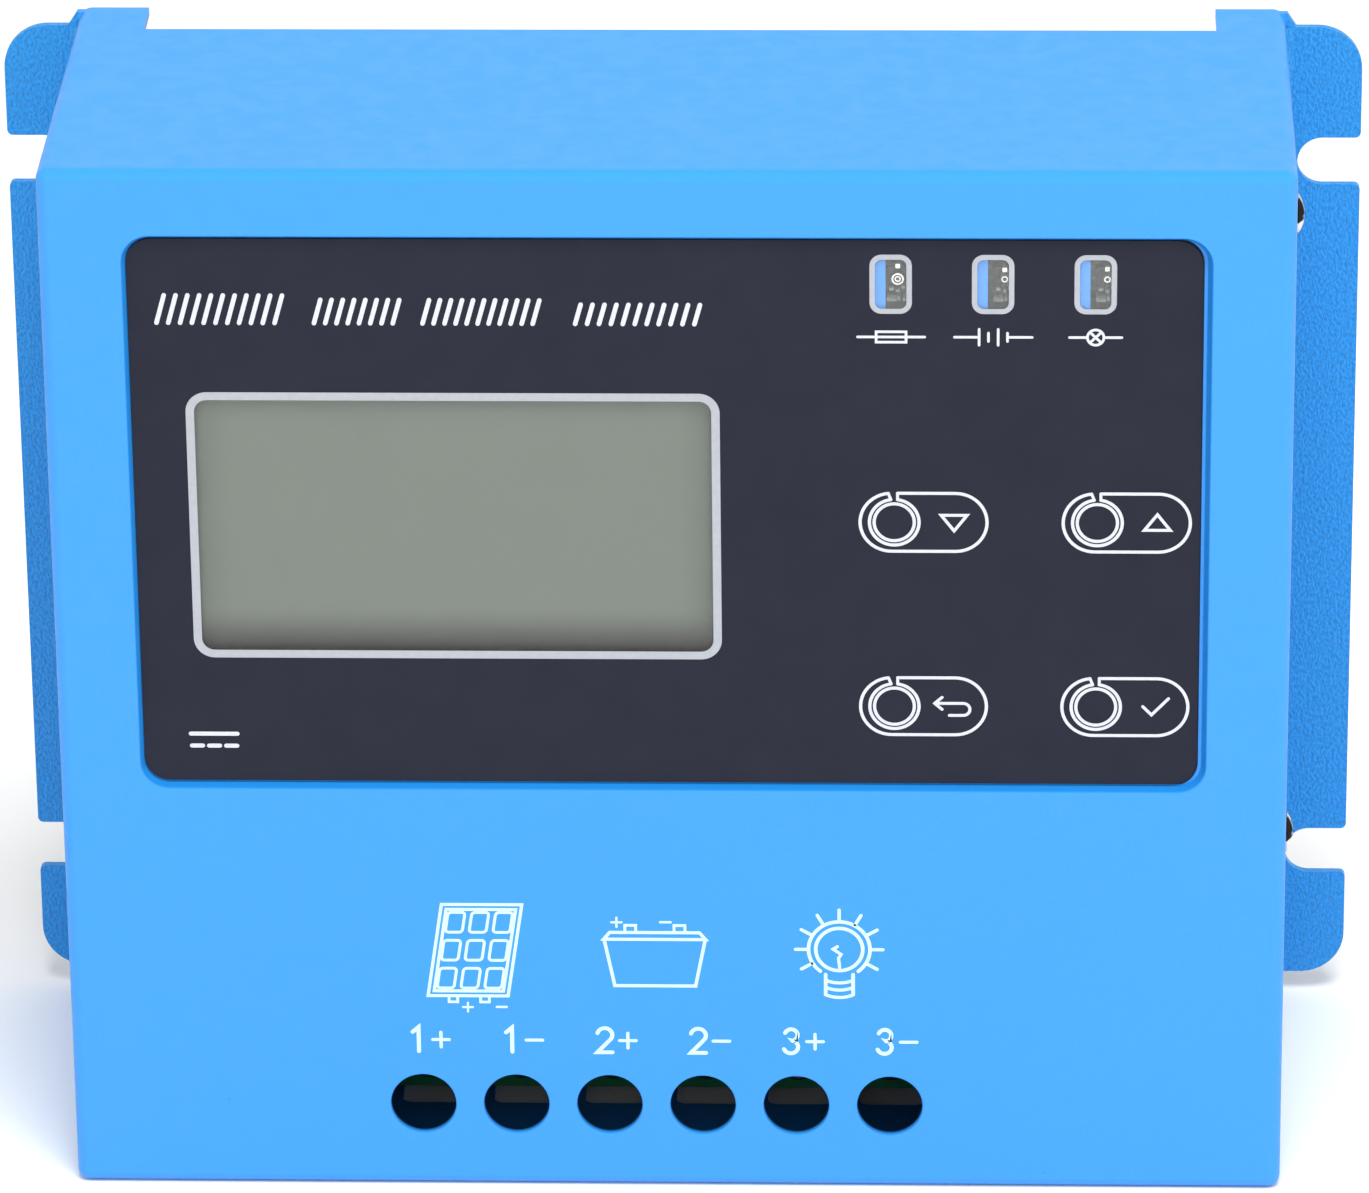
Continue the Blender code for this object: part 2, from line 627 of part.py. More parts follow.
def build_transistors(black):
    """Power transistors flat on the tray, their leads bent forward to the main board."""
    back = TRAY_DEPTHS[0] - CLEARANCE
    front = back - TRANSISTOR_THICKNESS
    tip = MAIN_BOARD_DEPTHS[1] + CLEARANCE
    bend_front, bend_back = (front + offset for offset in LEAD_BEND)
    outside, corner, root = LEAD_Z
    lead = [(y_at(bend_back), root), (y_at(bend_back), outside), (y_at(tip), outside), (y_at(tip), corner),
            (y_at(bend_front), corner), (y_at(bend_front), root)]
    for index, x in enumerate(TRANSISTOR_X, 1):

        def package(bm, x=x):
            block(bm, about(x, TRANSISTOR_HALF_WIDTH), y_range((front, back)), TRANSISTOR_Z)

        def leads(bm, x=x):
            for offset in (-LEAD_PITCH, 0, LEAD_PITCH):
                prism(bm, lead, "X", about(x + offset, LEAD_HALF_WIDTH))

        transistor = node(f"power_transistor_{index}", package, black)
        combine(transistor, "UNION", "leads", leads)


# ---------------------------------------------------------------- terminals

def housing_bores(bm):
    """Screw and thread bores from the front."""
    mouth, thread_end = HOUSING_DEPTHS[0] - BEYOND, THREAD_DEPTHS[1] + BEYOND
    profile = [(0, mouth), (SCREW_BORE_RADIUS, mouth), (SCREW_BORE_RADIUS, THREAD_DEPTHS[0]),
               (THREAD_BORE_RADIUS, THREAD_DEPTHS[0]), (THREAD_BORE_RADIUS, thread_end), (0, thread_end)]
    for index in range(TERMINALS):
        turned(bm, at_depths(profile), "Y", (terminal_x(index), TERMINAL_Z), 24)


def housing_pockets(bm):
    """Wire pockets, open at the bottom."""
    for index in range(TERMINALS):
        block(bm, about(terminal_x(index), WIRE_POCKET_HALF_WIDTH), y_range(WIRE_POCKET_DEPTHS),
              (HOUSING_Z[0] - BEYOND, WIRE_POCKET_TOP))


def build_clamp(index, metal):
    """One terminal's screw and the plate in front of its tip, both hung on the screw's axis."""
    x, number = terminal_x(index), index + 1
    front = OPEN_HEAD_DEPTH if index == BACKED_OFF else CLAMPED_HEAD_DEPTH
    neck = front + HEAD_HEIGHT
    tip = neck + SHANK_LENGTH
    origin = (x, y_at(front), TERMINAL_Z)
    axis = bpy.data.objects.new(f"terminal_axis_{number}", None)
    axis.location = Vector(origin) * MM
    bpy.context.scene.collection.objects.link(axis)
    profile = [(0, front), (HEAD_RADIUS - CLEARANCE, front), (HEAD_RADIUS, front + CLEARANCE),
               (HEAD_RADIUS, neck), (SHANK_RADIUS, neck), (SHANK_RADIUS, tip), (0, tip)]

    def plate_body(bm):
        depths = tip + CLEARANCE, tip + CLEARANCE + PLATE_THICKNESS
        block(bm, about(x, PLATE_HALF_WIDTH), y_range(depths), PLATE_Z)

    def screw_body(bm):
        turned(bm, at_depths(profile), "Y", (x, TERMINAL_Z), 20)

    def slot(bm):
        block(bm, about(x, HEAD_RADIUS + BEYOND), y_range((front - BEYOND, front + SLOT_CUT_DEPTH)),
              about(TERMINAL_Z, SLOT_CUT_HALF_WIDTH))

    plate = node(f"clamp_plate_{number}", plate_body, metal, origin=origin)
    screw = node(f"terminal_screw_{number}", screw_body, metal, origin=origin, smooth=True)
    combine(screw, "DIFFERENCE", "slot", slot)
    hang(plate, axis)
    hang(screw, axis)


def build_terminals(green, metal):
    """Six clamps: a screw turned from the front pushes a plate onto the wire that enters from below."""
    housing_x = about(TERMINAL_MIDDLE_X, TERMINALS * TERMINAL_PITCH / 2)

    def body(bm):
        block(bm, housing_x, y_range(HOUSING_DEPTHS), HOUSING_Z)

    housing = node("terminal_housing", body, green)
    combine(housing, "DIFFERENCE", "bores", housing_bores)
    combine(housing, "DIFFERENCE", "pockets", housing_pockets)
    for index in range(TERMINALS):
        build_clamp(index, metal)


# ---------------------------------------------------------------- chassis

def build_tray(steel):
    """Back tray with a flange along each side."""
    outer, inner = TRAY_HALF_WIDTH, TRAY_HALF_WIDTH - SHEET
    front, face, back = y_at(FLANGE_FRONT), y_at(TRAY_DEPTHS[0]), y_at(TRAY_DEPTHS[1])
    right = [(outer, back), (outer, front), (inner, front), (inner, face)]
    outline = right + [(-x, y) for x, y in reversed(right)]

    def walls():
        return [sorted((side * (inner - BEYOND), side * (outer + BEYOND))) for side in (-1, 1)]

    def flange_ends(bm):
        depths = y_range((FLANGE_FRONT - BEYOND, TRAY_DEPTHS[0] - 2 * SHEET))
        for z in ((TRAY_Z[0] - BEYOND, FLANGE_Z[0]), (FLANGE_Z[1], TRAY_Z[1] + BEYOND)):
            for x in walls():
                block(bm, x, depths, z)

    def screw_holes(bm):
        for height in COVER_SCREW_HEIGHTS:
            hole = circle((y_at(COVER_SCREW_DEPTH), height), SHANK_RADIUS + HOLE_CLEARANCE, 16)
            for x in walls():
                prism(bm, hole, "X", x)
        heatsink_holes(bm, inset(TRAY_DEPTHS, -BEYOND))

    tray = node("chassis_tray", lambda bm: prism(bm, outline, "Z", TRAY_Z), steel)
    combine(tray, "DIFFERENCE", "flange_ends", flange_ends)
    combine(tray, "DIFFERENCE", "screw_holes", screw_holes)


def heatsink_holes(bm, depths):
    for side in (-1, 1):
        centre = (side * HEATSINK_SCREW_X, HEATSINK_SCREW_Z)
        prism(bm, circle(centre, SHANK_RADIUS + CLEARANCE, 12), "Y", y_range(depths))


def build_heatsink(aluminium, metal):
    """Finned heatsink in the space behind the tray, and the two screws that hold it."""
    base_front, base_back, tip = y_at(HEATSINK_BASE[0]), y_at(HEATSINK_BASE[1]), y_at(FIN_TIP)
    pitch = (2 * HEATSINK_HALF_WIDTH - FIN_THICKNESS) / (FIN_COUNT - 1)
    outline = [(-HEATSINK_HALF_WIDTH, base_front)]
    for index in range(FIN_COUNT):
        left = -HEATSINK_HALF_WIDTH + index * pitch
        right = left + FIN_THICKNESS
        fin = [(left, base_back), (left, tip), (right, tip), (right, base_back)]
        outline += fin[1:] if index == 0 else fin[:-1] if index == FIN_COUNT - 1 else fin
    outline.append((HEATSINK_HALF_WIDTH, base_front))
    heatsink = node("heatsink", lambda bm: prism(bm, outline, "Z", HEATSINK_Z), aluminium)
    combine(heatsink, "DIFFERENCE", "screw_holes",
            lambda bm: heatsink_holes(bm, (HEATSINK_BASE[0] - BEYOND, HEATSINK_HOLE_END)))

    head_back = TRAY_DEPTHS[0] - CLEARANCE
    (crown, rim), (top, shoulder) = HEATSINK_SCREW_RADII, HEATSINK_SCREW_HEAD
    profile = [(0, head_back - top), (crown, head_back - top), (rim, head_back - shoulder), (rim, head_back),
               (SHANK_RADIUS, head_back), (SHANK_RADIUS, HEATSINK_SCREW_END), (0, HEATSINK_SCREW_END)]
    for side, name in ((-1, "left"), (1, "right")):
        centre = (side * HEATSINK_SCREW_X, HEATSINK_SCREW_Z)
        node(f"heatsink_screw_{name}", lambda bm, at=centre: turned(bm, at_depths(profile), "Y", at, 16),
             metal, smooth=True)


def main():
    for thing in list(bpy.data.objects):
        bpy.data.objects.remove(thing, do_unlink=True)
    blue = paint("blue_powder_coat", (0.085, 0.445, 1.0), 0.42)
    overlay = paint("overlay_film", (0.036, 0.040, 0.056), 0.55)
    clear = paint("clear_window", (0.75, 0.8, 0.76), 0.08)
    glass = paint("display_glass", (0.25, 0.30, 0.24), 0.25)
    black = paint("black_plastic", (0.02, 0.02, 0.022), 0.5)
    white = paint("diffuser_white", (0.8, 0.82, 0.78), 0.6)
    lamp = paint("lamp_plastic", (0.72, 0.74, 0.7), 0.4)
    board = paint("circuit_board", (0.02, 0.09, 0.05), 0.4)
    green = paint("terminal_green", (0.03, 0.25, 0.08), 0.5)
    steel = paint("galvanised_steel", (0.55, 0.57, 0.6), 0.45, 1.0)
    zinc = paint("plated_screw", (0.62, 0.62, 0.6), 0.3, 1.0)
    aluminium = paint("aluminium", (0.66, 0.67, 0.69), 0.4, 1.0)
    sleeve = paint("capacitor_sleeve", (0.02, 0.03, 0.06), 0.35)
    ferrite = paint("ferrite", (0.62, 0.52, 0.08), 0.6)
    copper = paint("enamelled_copper", (0.55, 0.2, 0.07), 0.3, 1.0)

    build_cover(blue)
    build_cover_screws(zinc)
    build_overlay(overlay)
    build_display(clear, black, glass, white)
    build_keys(overlay, black)
    build_indicators(lamp)
    build_boards(board, zinc)
    build_capacitors(sleeve)
    build_inductor(ferrite, copper)
    build_transistors(black)
    node("board_connector", lambda bm: block(bm, CONNECTOR_X, y_range(CONNECTOR_DEPTHS), CONNECTOR_Z), black)
    build_terminals(green, zinc)
    build_tray(steel)
    build_heatsink(aluminium, zinc)


main()
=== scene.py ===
import math

import bmesh
import bpy
from mathutils import Matrix, Vector


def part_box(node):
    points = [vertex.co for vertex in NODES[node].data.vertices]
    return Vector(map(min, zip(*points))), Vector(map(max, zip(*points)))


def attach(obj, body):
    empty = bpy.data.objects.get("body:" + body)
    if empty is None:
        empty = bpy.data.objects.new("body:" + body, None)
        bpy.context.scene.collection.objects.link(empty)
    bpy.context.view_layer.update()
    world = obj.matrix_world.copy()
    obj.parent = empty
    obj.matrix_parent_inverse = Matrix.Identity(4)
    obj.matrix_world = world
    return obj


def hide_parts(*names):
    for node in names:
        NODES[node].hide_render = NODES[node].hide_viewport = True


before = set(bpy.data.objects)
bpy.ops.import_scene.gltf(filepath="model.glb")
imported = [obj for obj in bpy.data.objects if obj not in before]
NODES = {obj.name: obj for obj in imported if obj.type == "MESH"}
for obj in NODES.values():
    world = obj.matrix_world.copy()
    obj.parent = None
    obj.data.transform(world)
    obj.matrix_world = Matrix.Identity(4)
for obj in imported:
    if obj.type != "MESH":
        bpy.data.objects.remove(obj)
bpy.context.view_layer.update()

MM = 0.001

# ---------------------------------------------------------------- measures in millimetres, from the frame


def low(node):
    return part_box(node)[0] / MM


def high(node):
    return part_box(node)[1] / MM


def middle(node):
    return (low(node) + high(node)) / 2


SHEET = 1.2
FRONT = low("front_cover").y
BACK = high("front_cover").y
HEIGHT = high("front_cover").z
TRAY_CLEARANCE = 0.5
HALF_WIDTH = high("chassis_tray").x + TRAY_CLEARANCE + SHEET
EAR_REACH = high("front_cover").x
EAR_BOTTOM, EAR_TOP = 3.2, 149.6
EAR_CORNER_RADIUS = 6.3
EAR_ROOT = HALF_WIDTH + 1.6
SLOT_WIDTH = 7.0
SLOT_CENTRE_X = 89.7
SLOT_HEIGHTS = (22.8, 129.7)
SHORT_WALL_BACK = FRONT + 55.0
TAB_WIDTH = 9.7
EDGE_RADIUS = 1.7

OVERLAY_FRONT = low("front_overlay").y
RECESS_X = (low("front_overlay").x - 0.6, high("front_overlay").x + 1.35)
RECESS_Z = (low("front_overlay").z - 0.9, high("front_overlay").z + 0.7)
RECESS_RADIUS = 3.9
RECESS_FLOOR = FRONT + 1.42
RECESS_RIM, RECESS_FOOT = 0.15, -0.8    # the recess wall slopes between these offsets from its outline
GLASS_X = (low("display_glass").x, high("display_glass").x)
GLASS_Z = (low("display_glass").z, high("display_glass").z)

LED_NAMES = ("error", "charge", "load")
LED_WINDOW_X = tuple(middle(f"indicator_{name}").x - 1.15 for name in LED_NAMES)
LED_WINDOW_Z = middle("indicator_error").z + 0.6
LED_WINDOW_SIZE = (5.7, 8.3)
LED_SLOT_OFFSET, LED_SLOT_SIZE = 2.25, (6.0, 9.6)
KEY_NAMES = ("down", "up", "escape", "set")
KEY_PLACES = {name: (middle(f"key_{name}").x, middle(f"key_{name}").z) for name in KEY_NAMES}
TERMINALS = range(1, 7)
TERMINAL_X = [middle(f"terminal_screw_{number}").x for number in TERMINALS]
TERMINAL_Z = middle("terminal_screw_1").z
DRIVER_HOLE_RADIUS, DRIVER_HOLE_LIP = 4.55, 0.25
KEY_HOLE_RADIUS, SIDE_HOLE_RADIUS = 4.0, 1.75
THROUGH_FRONT = (FRONT - 1, FRONT + 6)
WIRE_ENTRY_HALF_WIDTH = 4.7
WIRE_ENTRY_Y = (FRONT + 23.0, FRONT + 36.4)
SIDE_SCREW_Y = middle("cover_screw_right_upper").y
SIDE_SCREW_HEIGHTS = (middle("cover_screw_right_lower").z, middle("cover_screw_right_upper").z)
VENT_COUNT, VENT_PITCH, VENT_MIDDLE_Z = 6, 8.0, 84.0
VENT_Y, VENT_HEIGHT = (FRONT + 8.0, FRONT + 26.0), 2.6

ON_COVER = (FRONT, "blue_paint")    # the face that a print lies on, and its slot
ON_OVERLAY = (OVERLAY_FRONT, "overlay_film")
PRINT_THICKNESS = 0.03
LAYER_STEP, PRINT_LAYERS = 0.005, 5    # crossing lines differ in height by whole steps
CAP_STEPS, SHARPEST_MITRE = 5, 0.35

LAMPS = {   # the lens's shift sideways, its ring's radius and width, its eye's radius, the pad's height above
    "error": (-0.30, 0.72, 0.24, 0.42, 1.88),
    "charge": (0.35, 0.36, 0.18, 0.0, 1.36),
    "load": (0.40, 0.36, 0.18, 0.0, 1.50),
}
SOLDER_DROPS = (    # from the lens: across and up, half width, half height, and depth behind the lamp's face
    (0, -1.75, 0.22, 0.18, 0.1), (-0.85, -1.55, 0.3, 0.2, 0.2), (0.75, -1.3, 0.26, 0.16, 0.2),
    (-0.7, -3.2, 0.55, 0.16, 0.3), (0.15, -2.95, 0.2, 0.3, 0.3), (0.9, -3.1, 0.25, 0.18, 0.3),
    (-1.3, -3.05, 0.16, 0.3, 0.3),
)

CAMERA_PLACE = (44.372, -1119.838, 572.139)
CAMERA_YAW, CAMERA_PITCH, CAMERA_ROLL = -2.231, 23.872, -0.676    # degrees
CAMERA_LENS, CAMERA_SENSOR = 230.64, 36.0
FLOOR_SIZE = 3.0    # this and the places and sizes of the lights are in metres
LIGHTS = (("key_light", (0.15, -0.7, 1.6), 0.7, 24.0), ("fill_light", (0.9, -0.8, 0.7), 0.8, 2.0))
LIGHT_TARGET = (0, 0, 0.07)
SKY_HEIGHTS, SKY_STRENGTHS = (0.55, 0.95), (0.92, 0.35)    # the world fades between these sines of elevation


# ---------------------------------------------------------------- outlines and solids

def arc(centre, radius, start, end, steps):
    """Points on an arc, angles in degrees."""
    turn = [math.radians(start + (end - start) * i / steps) for i in range(steps + 1)]
    return [(centre[0] + radius * math.cos(t), centre[1] + radius * math.sin(t)) for t in turn]


def circle(centre, radius, steps=48):
    return arc(centre, radius, 0, 360, steps)[:-1]


def rounded(u, v, radius, steps=8):
    """Rectangle with rounded corners."""
    points = []
    for cu, cv, start in ((u[1], v[0], 270), (u[1], v[1], 0), (u[0], v[1], 90), (u[0], v[0], 180)):
        centre = (cu - math.copysign(radius, cu - sum(u) / 2), cv - math.copysign(radius, cv - sum(v) / 2))
        points += arc(centre, radius, start, start + 90, steps)
    return points


def grown(span, amount):
    return span[0] - amount, span[1] + amount


def about(centre, half):
    return centre - half, centre + half


def place(axis, u, v, along):
    point = {"X": (along, u, v), "Y": (u, along, v), "Z": (u, v, along)}[axis]
    return Vector(point) * MM


def loft(bm, sections, axis="Y"):
    """Closed solid through (outline, position along the axis) sections with equal numbers of points."""
    rings = [[bm.verts.new(place(axis, u, v, along)) for u, v in outline] for outline, along in sections]
    faces = [bm.faces.new(rings[0]), bm.faces.new(list(reversed(rings[-1])))]
    count = len(rings[0])
    for near, far in zip(rings, rings[1:]):
        for i in range(count):
            j = (i + 1) % count
            faces.append(bm.faces.new((near[j], near[i], far[i], far[j])))
    bmesh.ops.recalc_face_normals(bm, faces=faces)


def prism(bm, outline, axis, span):
    loft(bm, [(outline, span[0]), (outline, span[1])], axis)


def block(bm, x, y, z):
    prism(bm, [(x[0], y[0]), (x[1], y[0]), (x[1], y[1]), (x[0], y[1])], "Z", z)


def turned(bm, profile, axis, centre, steps=48):
    """Solid of revolution through (radius, along) points, from one end on the axis to the other."""
    rings = []
    for radius, along in profile:
        ring = [centre] if radius == 0 else circle(centre, radius, steps)
        rings.append([bm.verts.new(place(axis, u, v, along)) for u, v in ring])
    faces = []
    for near, far in zip(rings, rings[1:]):
        for i in range(steps):
            j = (i + 1) % steps
            corners = [near[i % len(near)], near[j % len(near)], far[j % len(far)], far[i % len(far)]]
            faces.append(bm.faces.new(list(dict.fromkeys(corners))))
    bmesh.ops.recalc_face_normals(bm, faces=faces)


def recess_cutter(bm, steps=10):
    """Cutter for the pressed recess: its wall leaves the front and meets the floor in smooth curves."""
    depth = RECESS_FLOOR - FRONT
    sections = [(recess_outline(RECESS_RIM + 0.02), FRONT - 1)]
    for i in range(steps + 1):
        t = i / steps
        offset = RECESS_RIM + (RECESS_FOOT - RECESS_RIM) * t
        sections.append((recess_outline(offset), FRONT + depth * (1 - math.cos(math.pi * t)) / 2))
    loft(bm, sections)


def lipped_cutter(bm, outline_of, back, lip, steps=5):
    """Cutter for a hole through the front, its edge rounded over by lip; outline_of(extra) is its shape."""
    sections = [(outline_of(lip), FRONT - 1)]
    for i in range(steps + 1):
        t = math.radians(90 * (1 - i / steps))
        sections.append((outline_of(lip * (1 - math.cos(t))), FRONT + lip * (1 - math.sin(t))))
    loft(bm, sections + [(outline_of(0), back)])


# ---------------------------------------------------------------- objects

def mesh_object(name, draw, material=None, smooth=35):
    bm = bmesh.new()
    draw(bm)
    mesh = bpy.data.meshes.new(name)
    bm.to_mesh(mesh)
    bm.free()
    if material:
        mesh.materials.append(material)
    if smooth:
        mesh.shade_smooth()
        mesh.set_sharp_from_angle(angle=math.radians(smooth))
    made = bpy.data.objects.new(name, mesh)
    bpy.context.scene.collection.objects.link(made)
    return made


def carve(target, operation, draw):
    """Applies one Boolean to the target's mesh and removes the tool."""
    tool = mesh_object("tool", draw, smooth=None)
    modifier = target.modifiers.new("carve", "BOOLEAN")
    modifier.operation, modifier.solver, modifier.object = operation, "EXACT", tool
    result = bpy.data.meshes.new_from_object(target.evaluated_get(bpy.context.evaluated_depsgraph_get()))
    target.modifiers.remove(modifier)
    target.data = result
    bpy.data.objects.remove(tool)


def soften(target, width, angle=35):
    """Rounds the edges with a bevel, and keeps the flats flat."""
    bevel = target.modifiers.new("soft_edges", "BEVEL")
    bevel.width, bevel.segments = width * MM, 2
    bevel.limit_method, bevel.angle_limit = "ANGLE", math.radians(angle)
    weights = target.modifiers.new("flat_faces", "WEIGHTED_NORMAL")
    weights.keep_sharp = True


def add(piece, replaces=()):
    """Puts a piece on the case, in place of the CAD nodes that it stands for."""
    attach(piece, "case")
    if replaces:
        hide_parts(*replaces)


# ---------------------------------------------------------------- materials

class Paint:
    """A Principled material with helpers for procedural detail in frame coordinates."""

    def __init__(self, name, colour, roughness, metallic=0.0, specular=0.5):
        self.material = bpy.data.materials.new(name)
        self.material.use_nodes = True
        self.tree = self.material.node_tree
        self.shader = self.tree.nodes["Principled BSDF"]
        self.colour = (*colour, 1.0)
        self.material.diffuse_color = self.colour
        for socket, value in (("Base Color", self.colour), ("Roughness", roughness), ("Metallic", metallic),
                              ("Specular IOR Level", specular)):
            self.shader.inputs[socket].default_value = value
        self.coordinates = self.node("ShaderNodeTexCoord").outputs["Object"]
        self.normal = None

    def node(self, kind, **settings):
        made = self.tree.nodes.new(kind)
        for key, value in settings.items():
            setattr(made, key, value)
        return made

    def link(self, source, target):
        self.tree.links.new(source, target)

    def put(self, value, socket):
        """Sets a socket to a number, or links an output to it."""
        if isinstance(value, (int, float)):
            socket.default_value = value
        else:
            self.link(value, socket)

    def math(self, operation, first, second=0.0):
        made = self.node("ShaderNodeMath", operation=operation)
        for socket, value in zip(made.inputs, (first, second)):
            self.put(value, socket)
        return made.outputs[0]

    def times(self, first, *factors):
        for factor in factors:
            first = self.math("MULTIPLY", first, factor)
        return first

    def noise(self, size, detail=2.0, stretch=(1, 1, 1)):
        """Noise whose features are about size millimetres across."""
        mapping = self.node("ShaderNodeMapping")
        mapping.inputs["Scale"].default_value = stretch
        self.link(self.coordinates, mapping.inputs["Vector"])
        made = self.node("ShaderNodeTexNoise")
        made.inputs["Scale"].default_value = 1 / (size * MM)
        made.inputs["Detail"].default_value = detail
        self.link(mapping.outputs["Vector"], made.inputs["Vector"])
        return made.outputs["Fac"]

    def cells(self, size):
        """Voronoi cells about size millimetres apart."""
        made = self.node("ShaderNodeTexVoronoi")
        made.inputs["Scale"].default_value = 1 / (size * MM)
        self.link(self.coordinates, made.inputs["Vector"])
        return made.outputs

    def ramp(self, value, start, end, first=0.0, last=1.0, curve="LINEAR"):
        """Maps value from start..end to first..last, clamped."""
        made = self.node("ShaderNodeMapRange", interpolation_type=curve)
        for socket, number in (("From Min", start), ("From Max", end), ("To Min", first), ("To Max", last)):
            made.inputs[socket].default_value = number
        self.link(value, made.inputs["Value"])
        return made.outputs["Result"]

    def fade(self, value, start, end, first=0.0, last=1.0, curve="LINEAR"):
        """The same ramp over a distance, with start and end in millimetres."""
        return self.ramp(value, start * MM, end * MM, first, last, curve)

    def within(self, value, start=None, end=None):
        """1 where a distance lies between start and end millimetres, elsewhere 0."""
        masks = []
        if start is not None:
            masks.append(self.math("GREATER_THAN", value, start * MM))
        if end is not None:
            masks.append(self.math("LESS_THAN", value, end * MM))
        return self.times(*masks)

    def axis(self, name):
        split = self.node("ShaderNodeSeparateXYZ")
        self.link(self.coordinates, split.inputs[0])
        return split.outputs[name]

    def tint(self, factor, colour):
        """Mixes colour over what the base colour is so far."""
        mix = self.node("ShaderNodeMix", data_type="RGBA")
        base = self.shader.inputs["Base Color"]
        if base.is_linked:
            self.link(base.links[0].from_socket, mix.inputs["A"])
        else:
            mix.inputs["A"].default_value = self.colour
        mix.inputs["B"].default_value = (*colour, 1.0)
        self.link(factor, mix.inputs["Factor"])
        self.link(mix.outputs["Result"], base)

    def mottle(self, pattern, start, end, amount, colour):
        """Tints by up to amount as a pattern rises from start to end."""
        self.tint(self.ramp(pattern, start, end, 0.0, amount), colour)

    def specks(self, spacing, rims, strength, patch, rare, colour):
        """Tiny dots where a wider noise is high; rims and rare are the soft edges of dots and patches."""
        dots = self.ramp(self.cells(spacing)["Distance"], *rims, strength, 0.0)
        self.tint(self.times(dots, self.ramp(self.noise(patch, 1.0), *rare)), colour)

    def bump(self, height, depth, strength=1.0):
        """Raises the surface by height (0 to 1) times depth millimetres."""
        made = self.node("ShaderNodeBump")
        made.inputs["Distance"].default_value = depth * MM
        self.put(strength, made.inputs["Strength"])
        self.link(height, made.inputs["Height"])
        if self.normal:
            self.link(self.normal, made.inputs["Normal"])
        self.normal = made.outputs["Normal"]
        self.link(self.normal, self.shader.inputs["Normal"])

    def roughen(self, value, smooth, rough):
        self.link(self.ramp(value, 0.3, 0.7, smooth, rough), self.shader.inputs["Roughness"])


def shade(colour, factor):
    return tuple(channel * factor for channel in colour)


# Linear colours.
BLUE, SHADED_SIDE_BLUE, PAINTED_SHADE_BLUE = (0.036, 0.302, 0.850), (0.014, 0.290, 0.710), (0.012, 0.220, 0.640)
INK_ON_BLUE, SILVER_INK, BORDER_INK = (0.62, 0.86, 0.95), (0.66, 0.67, 0.72), (0.42, 0.44, 0.48)
OVERLAY_GREY = (0.0152, 0.0170, 0.0300)
GRIT, DUST, DARK_REFLECTION = (0.05, 0.11, 0.22), (0.35, 0.37, 0.42), (0.004, 0.004, 0.005)
DISPLAY_GREY, DISPLAY_FOOT_SHADE = (0.127, 0.150, 0.124), (0.012, 0.0085, 0.0055)
CLEAR, CLEAR_DULL, DIFFUSER = (0.85, 0.88, 0.85), (0.8, 0.84, 0.8), (0.75, 0.78, 0.74)
SPANGLE, SCREW_ZINC, SIDE_ZINC = (0.56, 0.58, 0.60), (0.66, 0.66, 0.63), (0.74, 0.72, 0.70)
ALUMINIUM, BEZEL_STEEL = (0.66, 0.67, 0.69), (0.05, 0.05, 0.055)
ENAMEL, ENAMEL_GAP_SHADE, CORE_YELLOW = (0.50, 0.16, 0.05), (0.14, 0.04, 0.015), (0.60, 0.50, 0.08)
BLACK_PLASTIC, TERMINAL_GREEN = (0.018, 0.018, 0.020), (0.005, 0.105, 0.040)
SLEEVE_BLUE = (0.015, 0.022, 0.055)
DISPLAY_BOARD = (0.15, 0.19, 0.175), (0.26, 0.31, 0.28)    # solder mask, and the same over copper
MAIN_BOARD = (0.016, 0.062, 0.040), (0.035, 0.13, 0.075)
LAMP_GREY, BRIGHT_SOLDER, DULL_SOLDER = (0.085, 0.100, 0.090), (0.95, 0.95, 0.91), (0.92, 0.92, 0.88)
LABEL_EDGE_SHADOW, LABEL_EDGE_SHADOW_THIN = (0.004, 0.016, 0.045), (0.010, 0.035, 0.085)
FLOOR, FLOOR_SHADE = (0.95, 0.95, 0.95), (0.93, 0.93, 0.93)


